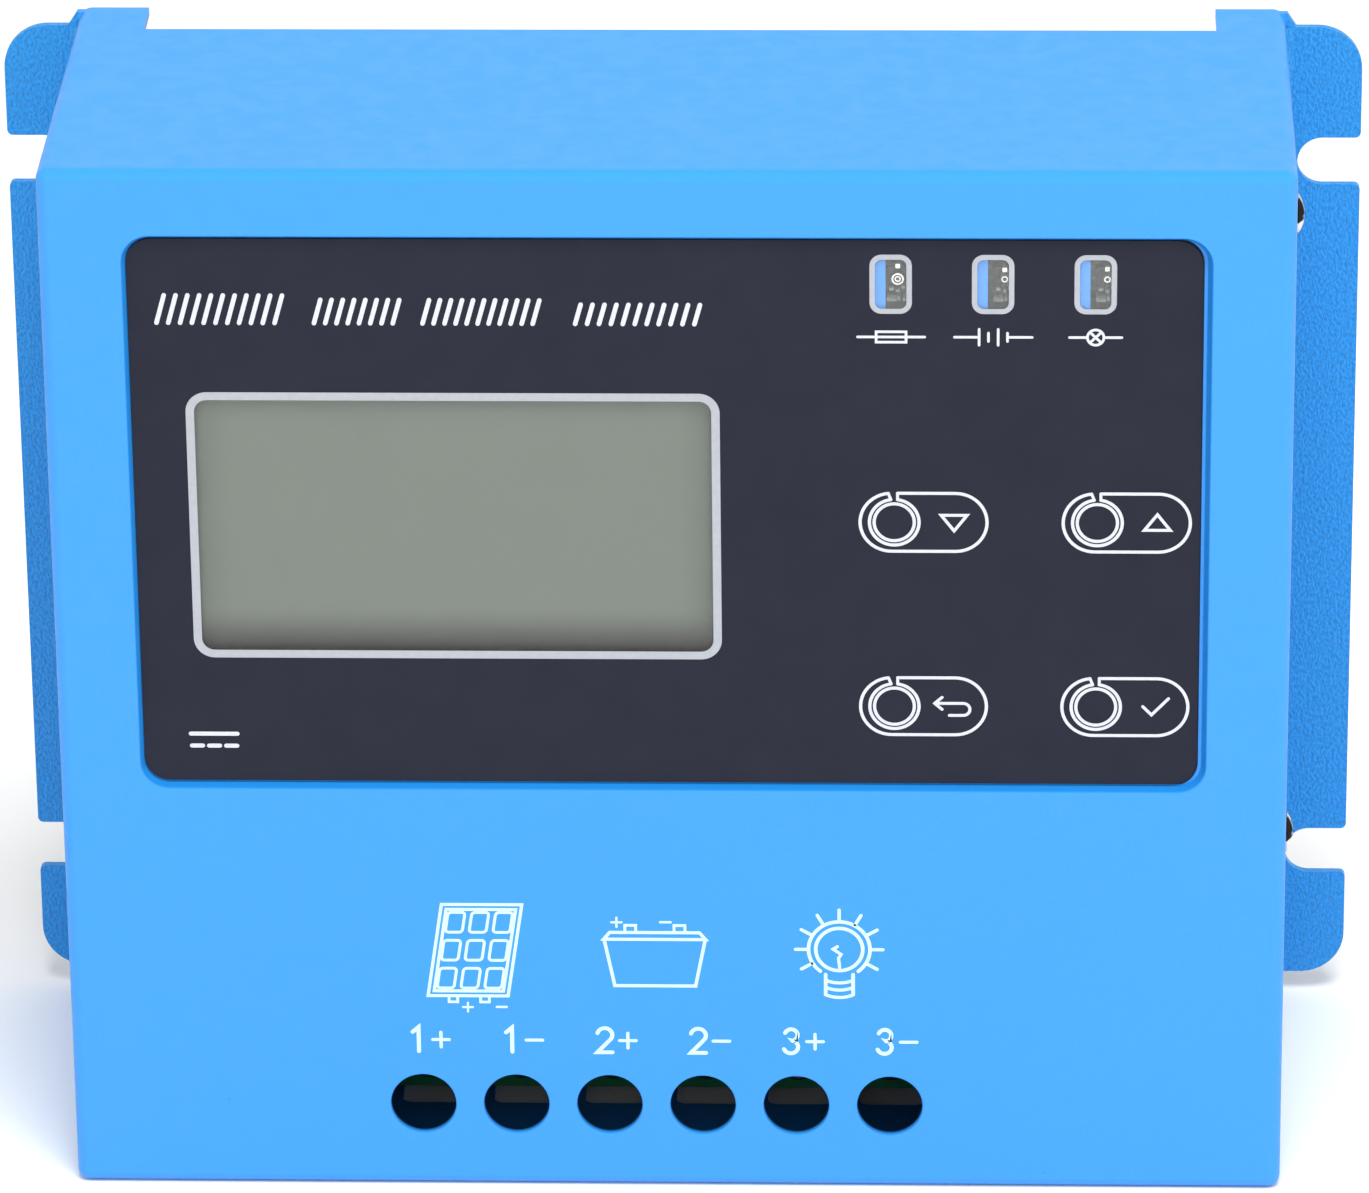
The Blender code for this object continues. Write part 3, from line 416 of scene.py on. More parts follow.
def powder_coat():
    """Blue powder coat: orange peel that is stronger on the ears and walls than on the pressed front, with
    painted shade on the ears and walls, on the recess wall, in the driver holes and inside the case.
    """
    paint = Paint("blue_powder_coat", BLUE, 0.42, specular=0.45)
    x, y, z = (paint.axis(name) for name in "XYZ")
    across = paint.math("ABSOLUTE", x)
    side = paint.fade(across, HALF_WIDTH - 0.4, HALF_WIDTH + 0.3)
    # Painted shade: the ears and side walls take a darker, deeper blue for the shade that the body casts on
    # the ears.
    paint.tint(side, SHADED_SIDE_BLUE)
    peel = paint.noise(0.42, 2.0, (1.0, 1.0, 0.7))
    paint.tint(paint.times(side, paint.ramp(peel, 0.40, 0.64, 0.0, 0.70)), shade(SHADED_SIDE_BLUE, 0.62))
    paint.mottle(peel, 0.40, 0.64, 0.06, shade(BLUE, 0.6))
    paint.mottle(paint.noise(28, 3.0), 0.35, 0.75, 0.10, shade(BLUE, 0.86))

    # Painted shade on the sloping wall of the recess.
    margin = 0.6
    recess = paint.times(paint.within(across, end=RECESS_X[1] + margin),
                         paint.within(z, RECESS_Z[0] - margin, RECESS_Z[1] + margin))
    slope = paint.times(paint.fade(y, FRONT + 0.03, FRONT + 0.3),
                        paint.fade(y, RECESS_FLOOR - 0.15, RECESS_FLOOR - 0.03, 1.0, 0.0))
    paint.tint(paint.times(recess, slope), PAINTED_SHADE_BLUE)

    # Painted shade on the cut edges of the driver holes.
    reach = DRIVER_HOLE_RADIUS + 1
    holes = paint.times(paint.within(x, TERMINAL_X[0] - reach, TERMINAL_X[-1] + reach),
                        paint.within(z, TERMINAL_Z - reach, TERMINAL_Z + reach))
    edge = paint.times(paint.fade(y, FRONT + 0.5, FRONT + 1.0), paint.within(y, end=FRONT + 1.6))
    paint.tint(paint.times(holes, edge, 0.85), shade(PAINTED_SHADE_BLUE, 0.3))

    # Painted shade on the inside faces of the case.
    skin = SHEET / 2
    hollow = paint.times(paint.within(y, FRONT + 2.0), paint.within(across, end=HALF_WIDTH - skin),
                         paint.within(z, skin, HEIGHT - skin))
    paint.tint(paint.times(hollow, 0.6), shade(PAINTED_SHADE_BLUE, 0.6))

    paint.specks(7.0, (0.018, 0.028), 0.55, 9.0, (0.60, 0.64), GRIT)
    paint.roughen(paint.noise(3.0), 0.38, 0.50)
    paint.bump(peel, 0.220, paint.ramp(side, 0, 1, 0.06, 1.0))
    paint.bump(paint.noise(0.25, 1.0), 0.004, 0.5)
    return paint.material


def overlay_film():
    """Matte printed polyester with a fine texture."""
    paint = Paint("overlay_film", OVERLAY_GREY, 0.62, specular=0.18)
    paint.mottle(paint.noise(14.0, 3.0), 0.35, 0.7, 0.35, shade(OVERLAY_GREY, 1.18))
    paint.specks(5.0, (0.012, 0.02), 0.5, 6.0, (0.62, 0.66), DUST)
    paint.bump(paint.noise(0.18, 2.0), 0.006, 0.6)
    paint.roughen(paint.noise(5.0), 0.56, 0.68)
    return paint.material


def ink(name, colour, grain):
    """Screen-printed ink, slightly uneven."""
    paint = Paint(name, colour, 0.55, specular=0.3)
    paint.mottle(paint.noise(0.6, 2.0), 0.35, 0.65, grain, shade(colour, 0.72))
    paint.bump(paint.noise(0.2, 1.0), 0.003, 0.5)
    return paint.material


def polariser():
    """Grey-green display surface with painted shade from the window's edges: it darkens to brown along its
    lower edge and fades darker towards its sides.
    """
    paint = Paint("display_polariser", DISPLAY_GREY, 0.32, specular=0.4)
    paint.mottle(paint.noise(30.0, 2.0), 0.3, 0.7, 0.25, shade(DISPLAY_GREY, 0.93))
    x, z = paint.axis("X"), paint.axis("Z")
    # Painted shade, darker towards each side.
    for edge, width in ((GLASS_X[0] + 1.3, 5.0), (GLASS_X[1] - 1.5, -5.0)):
        paint.tint(paint.fade(x, edge, edge + width, 0.23, 0.0), shade(DISPLAY_GREY, 0.1))
    # Painted shade, brown along the lower edge.
    foot = GLASS_Z[0] + 1.5
    paint.tint(paint.fade(z, foot, foot + 6.8, 1.0, 0.0, "SMOOTHSTEP"), DISPLAY_FOOT_SHADE)
    paint.bump(paint.noise(0.3, 1.0), 0.003, 0.4)
    return paint.material


def clear_film(name, haze):
    """Clear window film: mostly see-through, with a soft reflection."""
    paint = Paint(name, CLEAR, 0.22, specular=0.35)
    paint.shader.inputs["Alpha"].default_value = haze
    paint.mottle(paint.noise(9.0, 2.0), 0.4, 0.7, 0.4, CLEAR_DULL)
    paint.bump(paint.noise(6.0, 2.0), 0.01, 0.3)
    return paint.material


def brushed(name, colour, roughness, stretch=(1, 1, 1), size=0.4, metallic=1.0):
    """Metal with fine lines along the direction that stretch squeezes."""
    paint = Paint(name, colour, roughness, metallic)
    lines = paint.noise(size, 3.0, stretch)
    paint.mottle(lines, 0.35, 0.7, 0.35, shade(colour, 0.75))
    paint.mottle(paint.noise(12.0, 3.0), 0.45, 0.75, 0.25, shade(colour, 0.6))
    paint.bump(lines, 0.012, 0.5)
    paint.roughen(paint.noise(4.0), roughness - 0.06, roughness + 0.1)
    return paint.material


def galvanised():
    """Zinc spangle: flat crystals of slightly different grey."""
    paint = Paint("galvanised_steel", SPANGLE, 0.42, 1.0)
    split = paint.node("ShaderNodeSeparateColor")
    paint.link(paint.cells(5.5)["Color"], split.inputs[0])
    paint.mottle(split.outputs[0], 0.0, 1.0, 0.55, shade(SPANGLE, 0.66))
    paint.roughen(split.outputs[1], 0.34, 0.52)
    paint.bump(paint.noise(0.5, 2.0), 0.006, 0.5)
    return paint.material


def moulded(name, colour, roughness, grain=0.25, specular=0.5):
    """Moulded plastic with a fine spark-eroded texture and faint flow marks."""
    paint = Paint(name, colour, roughness, specular=specular)
    paint.mottle(paint.noise(7.0, 3.0, (1, 1, 0.4)), 0.35, 0.7, 0.5, shade(colour, 0.78))
    paint.bump(paint.noise(grain, 2.0), 0.012, 0.6)
    paint.roughen(paint.noise(2.5), roughness - 0.06, roughness + 0.08)
    return paint.material


def circuit_board(name, colour, run_colour):
    """Solder mask over copper runs, with the runs showing as slightly lighter raised lines."""
    paint = Paint(name, colour, 0.34)
    runs = paint.node("ShaderNodeTexBrick")
    runs.inputs["Scale"].default_value = 160.0
    runs.inputs["Mortar Size"].default_value = 0.035
    runs.inputs["Color1"].default_value = runs.inputs["Color2"].default_value = (0, 0, 0, 1)
    runs.inputs["Mortar"].default_value = (1, 1, 1, 1)
    turn = paint.node("ShaderNodeMapping")
    turn.inputs["Rotation"].default_value = (math.radians(90), 0, 0)
    paint.link(paint.coordinates, turn.inputs["Vector"])
    paint.link(turn.outputs["Vector"], runs.inputs["Vector"])
    grey = paint.node("ShaderNodeRGBToBW")
    paint.link(runs.outputs["Color"], grey.inputs[0])
    lines = grey.outputs[0]
    paint.mottle(lines, 0.3, 0.7, 0.7, run_colour)
    paint.mottle(paint.noise(5.0, 2.0), 0.4, 0.7, 0.4, shade(colour, 0.7))
    paint.bump(lines, 0.03, 0.6)
    return paint.material


def wound_wire():
    """Enamelled wire laid side by side round the core."""
    paint = Paint("enamelled_wire", ENAMEL, 0.28, 0.85)
    turns = paint.node("ShaderNodeTexWave", wave_type="RINGS", rings_direction="Y")
    turns.inputs["Scale"].default_value = 260.0
    paint.link(paint.coordinates, turns.inputs["Vector"])
    # Painted shade in the gaps between the turns.
    paint.tint(paint.ramp(turns.outputs["Fac"], 0.0, 0.5, 0.7, 0.0), ENAMEL_GAP_SHADE)
    paint.bump(turns.outputs["Fac"], 0.25, 0.7)
    return paint.material


# ---------------------------------------------------------------- cover

def ear_outline(side):
    """One wall ear in X and Z: two open slots, rounded outer corners, ramps where it bends from the wall."""
    inner, ramp_foot, ramp = HALF_WIDTH - SHEET * 0.7, HALF_WIDTH + 0.3, 2
    half, ease = SLOT_WIDTH / 2, 0.8
    corner = EAR_REACH - EAR_CORNER_RADIUS
    points = [(inner, EAR_BOTTOM - ramp), (ramp_foot, EAR_BOTTOM - ramp), (EAR_ROOT, EAR_BOTTOM)]
    points += arc((corner, EAR_BOTTOM + EAR_CORNER_RADIUS), EAR_CORNER_RADIUS, 270, 360, 14)
    for height in SLOT_HEIGHTS:
        points += arc((EAR_REACH - ease, height - half - ease), ease, 0, 90, 5)
        points += arc((SLOT_CENTRE_X, height), half, 270, 90, 24)
        points += arc((EAR_REACH - ease, height + half + ease), ease, 270, 360, 5)
    points += arc((corner, EAR_TOP - EAR_CORNER_RADIUS), EAR_CORNER_RADIUS, 0, 90, 14)
    points += [(EAR_ROOT, EAR_TOP), (ramp_foot, EAR_TOP + ramp), (inner, EAR_TOP + ramp)]
    return [(side * x, z) for x, z in points]


def cover_block(bm):
    block(bm, (-HALF_WIDTH, HALF_WIDTH), (FRONT, BACK), (0, HEIGHT))
    edges = [e for e in bm.edges if not all(abs(v.co.y - BACK * MM) < 1e-6 for v in e.verts)]
    bmesh.ops.bevel(bm, geom=edges, offset=EDGE_RADIUS * MM, segments=6, profile=0.5, affect="EDGES")


def cover_hollow(bm):
    inside = HALF_WIDTH - SHEET
    block(bm, (-inside, inside), (FRONT + SHEET, BACK + 2), (SHEET, HEIGHT - SHEET))


def cover_short_walls(bm):
    half = HALF_WIDTH - TAB_WIDTH
    for z in ((-2, SHEET * 1.5), (HEIGHT - SHEET * 1.5, HEIGHT + 2)):
        block(bm, (-half, half), (SHORT_WALL_BACK, BACK + 2), z)


def ears(bm):
    for side in (-1, 1):
        prism(bm, ear_outline(side), "Y", (BACK - SHEET, BACK))


def ear_bends(bm):
    """The inside radius between each side wall and its ear."""
    radius, overlap = 1.3, 0.5
    for side in (-1, 1):
        corner = (HALF_WIDTH + radius, BACK - SHEET - radius)
        curve = arc(corner, radius, 180, 90, 6)
        outline = [(HALF_WIDTH - overlap, corner[1]), *curve, (corner[0], BACK - SHEET / 2),
                   (HALF_WIDTH - overlap, BACK - SHEET / 2)]
        prism(bm, [(side * x, y) for x, y in outline], "Z", (EAR_BOTTOM, EAR_TOP))


def recess_outline(extra):
    return rounded(grown(RECESS_X, extra), grown(RECESS_Z, extra), RECESS_RADIUS + extra, 10)


def recess_back(bm):
    prism(bm, recess_outline(SHEET), "Y", (FRONT + SHEET / 2, RECESS_FLOOR + SHEET))


def cover_openings(bm):
    """Display, indicator and key openings in the recess, wire entries, vents and side screw holes."""
    prism(bm, rounded(grown(GLASS_X, 0.6), grown(GLASS_Z, 0.6), 1.5), "Y", THROUGH_FRONT)
    wide, tall = LED_SLOT_SIZE
    for x in LED_WINDOW_X:
        slot = rounded(about(x + LED_SLOT_OFFSET, wide / 2), about(LED_WINDOW_Z, tall / 2), 1.0, 5)
        prism(bm, slot, "Y", THROUGH_FRONT)
    for centre in KEY_PLACES.values():
        prism(bm, circle(centre, KEY_HOLE_RADIUS, 40), "Y", THROUGH_FRONT)
    for x in TERMINAL_X:
        entry = rounded(about(x, WIRE_ENTRY_HALF_WIDTH), WIRE_ENTRY_Y, 1.5, 6)
        prism(bm, entry, "Z", (-1, SHEET + 1))
    for side in (-1, 1):
        wall = sorted((side * (HALF_WIDTH - SHEET - 1), side * (HALF_WIDTH + 1)))
        for height in SIDE_SCREW_HEIGHTS:
            prism(bm, circle((SIDE_SCREW_Y, height), SIDE_HOLE_RADIUS, 24), "X", wall)
        for index in range(VENT_COUNT):
            z = VENT_MIDDLE_Z + (index - (VENT_COUNT - 1) / 2) * VENT_PITCH
            vent = rounded(VENT_Y, about(z, VENT_HEIGHT / 2), VENT_HEIGHT * 0.48, 6)
            prism(bm, vent, "X", wall)


def driver_holes(bm):
    for x in TERMINAL_X:
        def outline(extra, x=x):
            return circle((x, TERMINAL_Z), DRIVER_HOLE_RADIUS + extra, 64)

        lipped_cutter(bm, outline, THROUGH_FRONT[1], DRIVER_HOLE_LIP)


def build_cover():
    cover = mesh_object("case_shell", cover_block, powder_coat(), smooth=None)
    for operation, draw in (("DIFFERENCE", cover_hollow), ("DIFFERENCE", cover_short_walls), ("UNION", ears),
                            ("UNION", ear_bends), ("UNION", recess_back), ("DIFFERENCE", recess_cutter),
                            ("DIFFERENCE", driver_holes), ("DIFFERENCE", cover_openings)):
        carve(cover, operation, draw)
    cover.data.shade_smooth()
    cover.data.set_sharp_from_angle(angle=math.radians(40))
    soften(cover, 0.16, 50)
    add(cover, ["front_cover"])


# ---------------------------------------------------------------- printed lines

def stroke(bm, points, width, y, closed, layer):
    """A flat line of even width through points in X and Z, with round ends, standing proud towards -Y."""
    count = len(points)
    half = width / 2
    left, right = [], []
    for i, (x, z) in enumerate(points):
        before = points[i - 1] if closed or i > 0 else None
        after = points[(i + 1) % count] if closed or i < count - 1 else None
        directions = []
        for start, end in ((before, (x, z)), ((x, z), after)):
            if start and end:
                length = math.hypot(end[0] - start[0], end[1] - start[1])
                directions.append(((end[0] - start[0]) / length, (end[1] - start[1]) / length))
        dx = sum(d[0] for d in directions) / len(directions)
        dz = sum(d[1] for d in directions) / len(directions)
        size = math.hypot(dx, dz)
        dx, dz = dx / size, dz / size
        reach = half / max(dx * directions[0][0] + dz * directions[0][1], SHARPEST_MITRE)
        left.append((x - dz * reach, z + dx * reach))
        right.append((x + dz * reach, z - dx * reach))
    span = (y - PRINT_THICKNESS - LAYER_STEP * layer, y + LAYER_STEP)
    if closed:
        ribbon(bm, left, right, span)
        return
    caps = []
    for tip, inward in ((points[-1], points[-2]), (points[0], points[1])):
        facing = math.degrees(math.atan2(tip[1] - inward[1], tip[0] - inward[0]))
        caps.append(arc(tip, half, facing - 90, facing + 90, CAP_STEPS))
    prism(bm, right[1:-1] + caps[0] + left[-2:0:-1] + caps[1], "Y", span)


def ribbon(bm, outer, inner, span):
    """Closed band between two loops of the same number of points."""
    rings = [[bm.verts.new(place("Y", u, v, along)) for u, v in loop]
             for loop, along in ((outer, span[0]), (outer, span[1]), (inner, span[1]), (inner, span[0]))]
    faces = []
    count = len(outer)
    for ring, following in zip(rings, rings[1:] + rings[:1]):
        for i in range(count):
            j = (i + 1) % count
            faces.append(bm.faces.new((ring[i], ring[j], following[j], following[i])))
    bmesh.ops.recalc_face_normals(bm, faces=faces)


def printed(name, strokes, surface, material):
    """One printed piece made of strokes: (points, width, closed)."""
    y, slot = surface

    def draw(bm):
        for index, (points, width, closed) in enumerate(strokes):
            stroke(bm, points, width, y, closed, index % PRINT_LAYERS)

    add(mesh_object(name, draw, material, smooth=None))


def line(width, *points):
    return list(points), width, False


def loop(width, points):
    return points, width, True


def cup(x, z, half, tall):
    """Three sides of a box that stands on (or hangs from) z."""
    return [(x - half, z), (x - half, z + tall), (x + half, z + tall), (x + half, z)]


def moved(points, x, z):
    return [(u + x, v + z) for u, v in points]


def plus(x, z, half, width):
    return [line(width, (x - half, z), (x + half, z)), line(width, (x, z - half), (x, z + half))]


def minus(x, z, half, width):
    return [line(width, (x - half, z), (x + half, z))]


def numeral(digit, x, z, width, height):
    """Centre line of a plain 1, 2 or 3 in a box whose lower left corner is (x, z)."""
    if digit == 1:
        return [(x + width * 0.15, z + height * 0.80), (x + width * 0.55, z + height), (x + width * 0.55, z)]
    radius = width / 2
    if digit == 2:
        top = (x + radius, z + height - radius)
        return arc(top, radius, 165, -35, 12) + [(x, z), (x + width, z)]
    small = height * 0.24
    upper = arc((x + width * 0.45, z + height - small), small, 160, -80, 10)
    large = height * 0.27
    lower = arc((x + width * 0.42, z + large), large, 80, -160, 12)
    return upper + lower


def terminal_legends(material):
    """Pair number and polarity over each terminal."""
    thick, foot, wide, tall = 0.56, 20.95, 2.1, 3.75
    for index, x in enumerate(TERMINAL_X):
        strokes = [line(thick, *numeral(index // 2 + 1, x - 1.6, foot, wide, tall))]
        sign = plus if index % 2 == 0 else minus
        strokes += sign(x + 2.65, foot + tall * 0.49, 1.15, thick * 0.8)
        printed(f"print_terminal_{index + 1}", strokes, ON_COVER, material)


def panel_picture(material):
    """Solar panel: a leaning double frame with nine rounded cells, two connectors and their polarity."""
    base_x, base_z, wide, tall, lean = -34.25, 29.6, 11.11, 14.06, 2.15
    thick, frame_gap = 0.44, 0.75

    def at(u, v):
        return base_x + u * wide + v * lean, base_z + v * tall

    def frame_line(inset):
        u, v = inset / wide, inset / tall
        return [at(u, v), at(1 - u, v), at(1 - u, 1 - v), at(u, 1 - v)]

    strokes = [loop(thick, frame_line(0)), loop(thick, frame_line(frame_gap))]
    cell_wide, cell_tall, column_pitch, row_pitch = 2.35, 3.05, 3.3, 4.3
    side, foot = (wide - cell_wide - 2 * column_pitch) / 2, (tall - cell_tall - 2 * row_pitch) / 2
    cell = rounded((0, cell_wide), (0, cell_tall), 0.45, 4)
    for column in range(3):
        for row in range(3):
            shifted = moved(cell, side + column * column_pitch, foot + row * row_pitch)
            strokes.append(loop(thick * 0.9, [at(u / wide, v / tall) for u, v in shifted]))
    for u in (0.315, 0.71):
        strokes.append(line(thick * 0.85, *cup(*at(u, 0), 0.6, -0.95)))
    strokes += plus(-28.75, 27.85, 0.68, 0.30) + minus(-24.05, 27.9, 0.68, 0.34)
    printed("print_panel_picture", strokes, ON_COVER, material)


def battery_picture(material):
    """Battery: a tapered case under a lid, two posts and their polarity."""
    thick, middle_x, lid_top = 0.46, -2.7, 39.5
    lid = [(-7.05, 38.45), (-6.2, lid_top), (6.2, lid_top), (7.05, 38.45)]
    case = [(-6.95, 38.2), (-5.6, 31.3), (5.6, 31.3), (6.95, 38.2)]
    strokes = [loop(thick, moved(lid, middle_x, 0)), line(thick, *moved(case, middle_x, 0))]
    for x in (-3.35, 3.45):
        strokes.append(line(thick * 0.85, *cup(x + middle_x, lid_top, 0.75, 1.1)))
    strokes += plus(-7.95, 41.05, 0.72, 0.30) + minus(-1.2, 41.1, 0.72, 0.34)
    printed("print_battery_picture", strokes, ON_COVER, material)


def lamp_picture(material):
    """Lamp: two rings, nine rays, a filament and a ribbed cap."""
    thick, cap_half = 0.50, 1.9
    x, z = centre = (22.80, 37.05)
    strokes = [line(thick, *arc(centre, 4.25, -52, 232, 40)), loop(thick, circle(centre, 3.25, 44))]
    for step in range(9):
        turn = math.radians(-30 + 30 * step)
        strokes.append(line(0.46, *((x + r * math.cos(turn), z + r * math.sin(turn)) for r in (4.4, 6.05))))
    for edge in (x - cap_half, x + cap_half):
        strokes.append(line(thick, (edge, 33.2), (edge, 30.1)))
    for rib in (32.35, 31.25, 30.1):
        strokes.append(line(thick * 0.9, *arc((x, rib + 4.2), 4.65, -114, -66, 8)))
    filament = [(-0.15, 0.45), (-0.75, 0.05), (0.35, -0.75), (0.0, -1.35), (0.15, -2.9)]
    strokes.append(line(0.42, *moved(filament, x - 0.1, z)))
    printed("print_lamp_picture", strokes, ON_COVER, material)


def key_prints(material):
    """Outline, two rings and a sign for each key."""
    thick, half_height, reach, half_gap = 0.44, 4.27, 12.55, 0.45
    ring_radius, inner_radius = 3.36, 2.72
    gap, ring_gap = (math.degrees(math.asin(half_gap / radius)) for radius in (half_height, ring_radius))
    for name, (x, z) in KEY_PLACES.items():
        start = arc((x - 0.35, z), half_height, 90 + gap, 270, 24)
        end = arc((x + reach - half_height, z), half_height, 270, 450, 24)
        outline = start + end + [(x + half_gap, z + half_height)]
        ring = arc((x, z), ring_radius, 90 - ring_gap, -270 + ring_gap, 44)
        strokes = [line(thick, *outline), line(thick, *ring), loop(thick, circle((x, z), inner_radius, 44)),
                   line(thick * 0.9, outline[0], ring[-1]), line(thick * 0.9, outline[-1], ring[0])]
        printed(f"print_key_{name}", strokes + key_sign(name, x + 8.1, z), ON_OVERLAY, material)


def key_sign(name, x, z):
    """Plain signs: triangles for down and up, a turned-back arrow for escape, a tick for set."""
    thick = 0.42
    if name in ("down", "up"):
        flip = 1 if name == "up" else -1
        triangle = [(-1.75, -1.05 * flip), (1.75, -1.05 * flip), (0, 1.25 * flip)]
        return [loop(thick, moved(triangle, x, z))]
    if name == "escape":
        shaft = [(-2.6, 0.45), (1.3, 0.45), *arc((1.3, -0.45), 0.9, 80, -90, 10), (-0.6, -1.35)]
        head = [(-1.6, 1.35), (-2.6, 0.45), (-1.6, -0.45)]
        return [line(thick, *moved(points, x, z)) for points in (shaft, head)]
    tick = [(-1.7, 0.1), (-0.5, -1.15), (1.8, 1.3)]
    return [line(thick, *moved(tick, x, z))]


def indicator_prints(material, border_ink):
    """A border round each indicator window and a plain circuit sign under it: fuse, cells and lamp."""
    wide, tall = LED_WINDOW_SIZE
    for name, x in zip(LED_NAMES, LED_WINDOW_X):
        span_z = about(LED_WINDOW_Z + 0.05, tall / 2 - 0.26)
        border = rounded(about(x - 0.05, wide / 2 - 0.38), span_z, 1.25, 8)
        printed(f"print_window_{name}", [loop(0.72, border)], ON_OVERLAY, border_ink)

    def wire(start, end):
        return [(start, 0), (end, 0)]

    fuse = [(-2.0, -0.75), (2.0, -0.75), (2.0, 0.75), (-2.0, 0.75)]
    cells = [wire(-5.2, -1.9), wire(1.9, 5.2)]
    cells += [[(x, -half), (x, half)] for x, half in ((-1.9, 1.15), (-0.65, 0.6), (0.65, 1.15), (1.9, 0.6))]
    cross = 1.05 * math.sqrt(0.5)
    lamp = [[(-cross, -cross), (cross, cross)], [(-cross, cross), (cross, -cross)]]
    lamp += [wire(-3.5, -1.1), wire(1.1, 3.5)]
    thick, z = 0.36, 128.0
    ring = circle((0, 0), 1.1, 32)
    signs = {"error": ([fuse], [wire(-4.5, 4.5)]), "charge": ([], cells), "load": ([ring], lamp)}
    for x, (name, (closed, opened)) in zip(LED_WINDOW_X, signs.items()):
        strokes = [loop(thick, moved(points, x, z)) for points in closed]
        strokes += [line(thick, *moved(points, x, z)) for points in opened]
        printed(f"print_sign_{name}", strokes, ON_OVERLAY, material)


def display_border(material):
    """Printed border over the joint between the overlay and the clear window."""
    border = rounded((-64.55, 6.4), (81.05, 119.1), 2.3, 10)
    printed("print_display_border", [loop(1.14, border)], ON_OVERLAY, material)


def title_bars(material):
    """Four groups of plain slanted bars in place of a title, and a direct-current sign under the display."""
    foot, lean, thick, pitch = 129.75, 0.28, 0.62, 1.55
    groups = ((-68.6, 15.9, 4.0), (-47.4, 10.6, 3.4), (-32.8, 14.8, 3.4), (-12.3, 16.0, 2.8))
    strokes = []
    for start, length, tall in groups:
        count = round(length / pitch)
        for step in range(count + 1):
            x = start + length * step / count
            strokes.append(line(thick, (x, foot), (x + tall * lean, foot + tall)))
    printed("print_title_bars", strokes, ON_OVERLAY, material)
    x, z, thick = -62.8, 68.1, 0.6
    sign = [line(thick, (x - 3.2, z + 0.9), (x + 3.2, z + 0.9))]
    for dash in (x - 2.35, x, x + 2.35):
        sign.append(line(thick, (dash - 0.75, z - 0.9), (dash + 0.75, z - 0.9)))
    printed("print_current_sign", sign, ON_OVERLAY, material)


# ---------------------------------------------------------------- small parts that show

def side_screw_metal():
    """Bright zinc with a painted dark reflection: an oval where the front of the head curves up towards the
    unlit ceiling.
    """
    paint = Paint("side_screw_zinc", SIDE_ZINC, 0.2, 1.0)
    z, oval_rise = paint.axis("Z"), 1.15
    distances = [paint.math("ABSOLUTE", paint.math("SUBTRACT", z, (height + oval_rise) * MM))
                 for height in SIDE_SCREW_HEIGHTS]
    dark = paint.times(paint.fade(paint.math("MINIMUM", *distances), 1.4, 1.6, 1.0, 0.0),
                       paint.fade(paint.axis("Y"), SIDE_SCREW_Y - 0.9, SIDE_SCREW_Y - 0.3, 1.0, 0.0))
    # Painted dark reflection on the upper front of each head.
    paint.tint(paint.times(dark, 0.97), DARK_REFLECTION)
    paint.link(paint.ramp(dark, 0.0, 1.0, 0.22, 0.85), paint.shader.inputs["Roughness"])
    paint.bump(paint.noise(0.3, 2.0), 0.006, 0.4)
    return paint.material


def build_side_screws():
    """Pan heads with a cross recess, in place of the plain CAD heads."""
    material = side_screw_metal()
    shank, radius, chamfer, dome = 1.5, 2.9, 0.15, 4.6
    face = HALF_WIDTH + 0.15
    tip, edge, top = face - 8, face + 1.2, face + 2.1
    profile = [(0, tip), (shank, tip), (shank, face), (radius - chamfer, face), (radius, face + chamfer)]
    profile += [(radius, edge)] + [point for point in arc((0, top - dome), dome, 52, 90, 8)[:-1]
                                   if point[1] > edge + 0.02]
    profile.append((0, top))
    arm, reach = 0.36, 1.7
    quarter = [(arm, -reach), (arm, -arm), (reach, -arm), (reach, arm), (arm, arm), (arm, reach)]
    recess = quarter + [(-u, -v) for u, v in quarter]
    for side, side_name in ((-1, "left"), (1, "right")):
        for height, level in zip(SIDE_SCREW_HEIGHTS, ("lower", "upper")):
            def draw_head(bm, side=side, height=height):
                turned(bm, [(r, side * x) for r, x in profile], "X", (SIDE_SCREW_Y, height))

            def draw_recess(bm, side=side, height=height):
                span = sorted((side * (face + 1.0), side * (face + 3)))
                prism(bm, moved(recess, SIDE_SCREW_Y, height), "X", span)

            screw = mesh_object(f"side_screw_{side_name}_{level}", draw_head, material)
            carve(screw, "DIFFERENCE", draw_recess)
            screw.data.set_sharp_from_angle(angle=math.radians(35))
            add(screw, [f"cover_screw_{side_name}_{level}"])


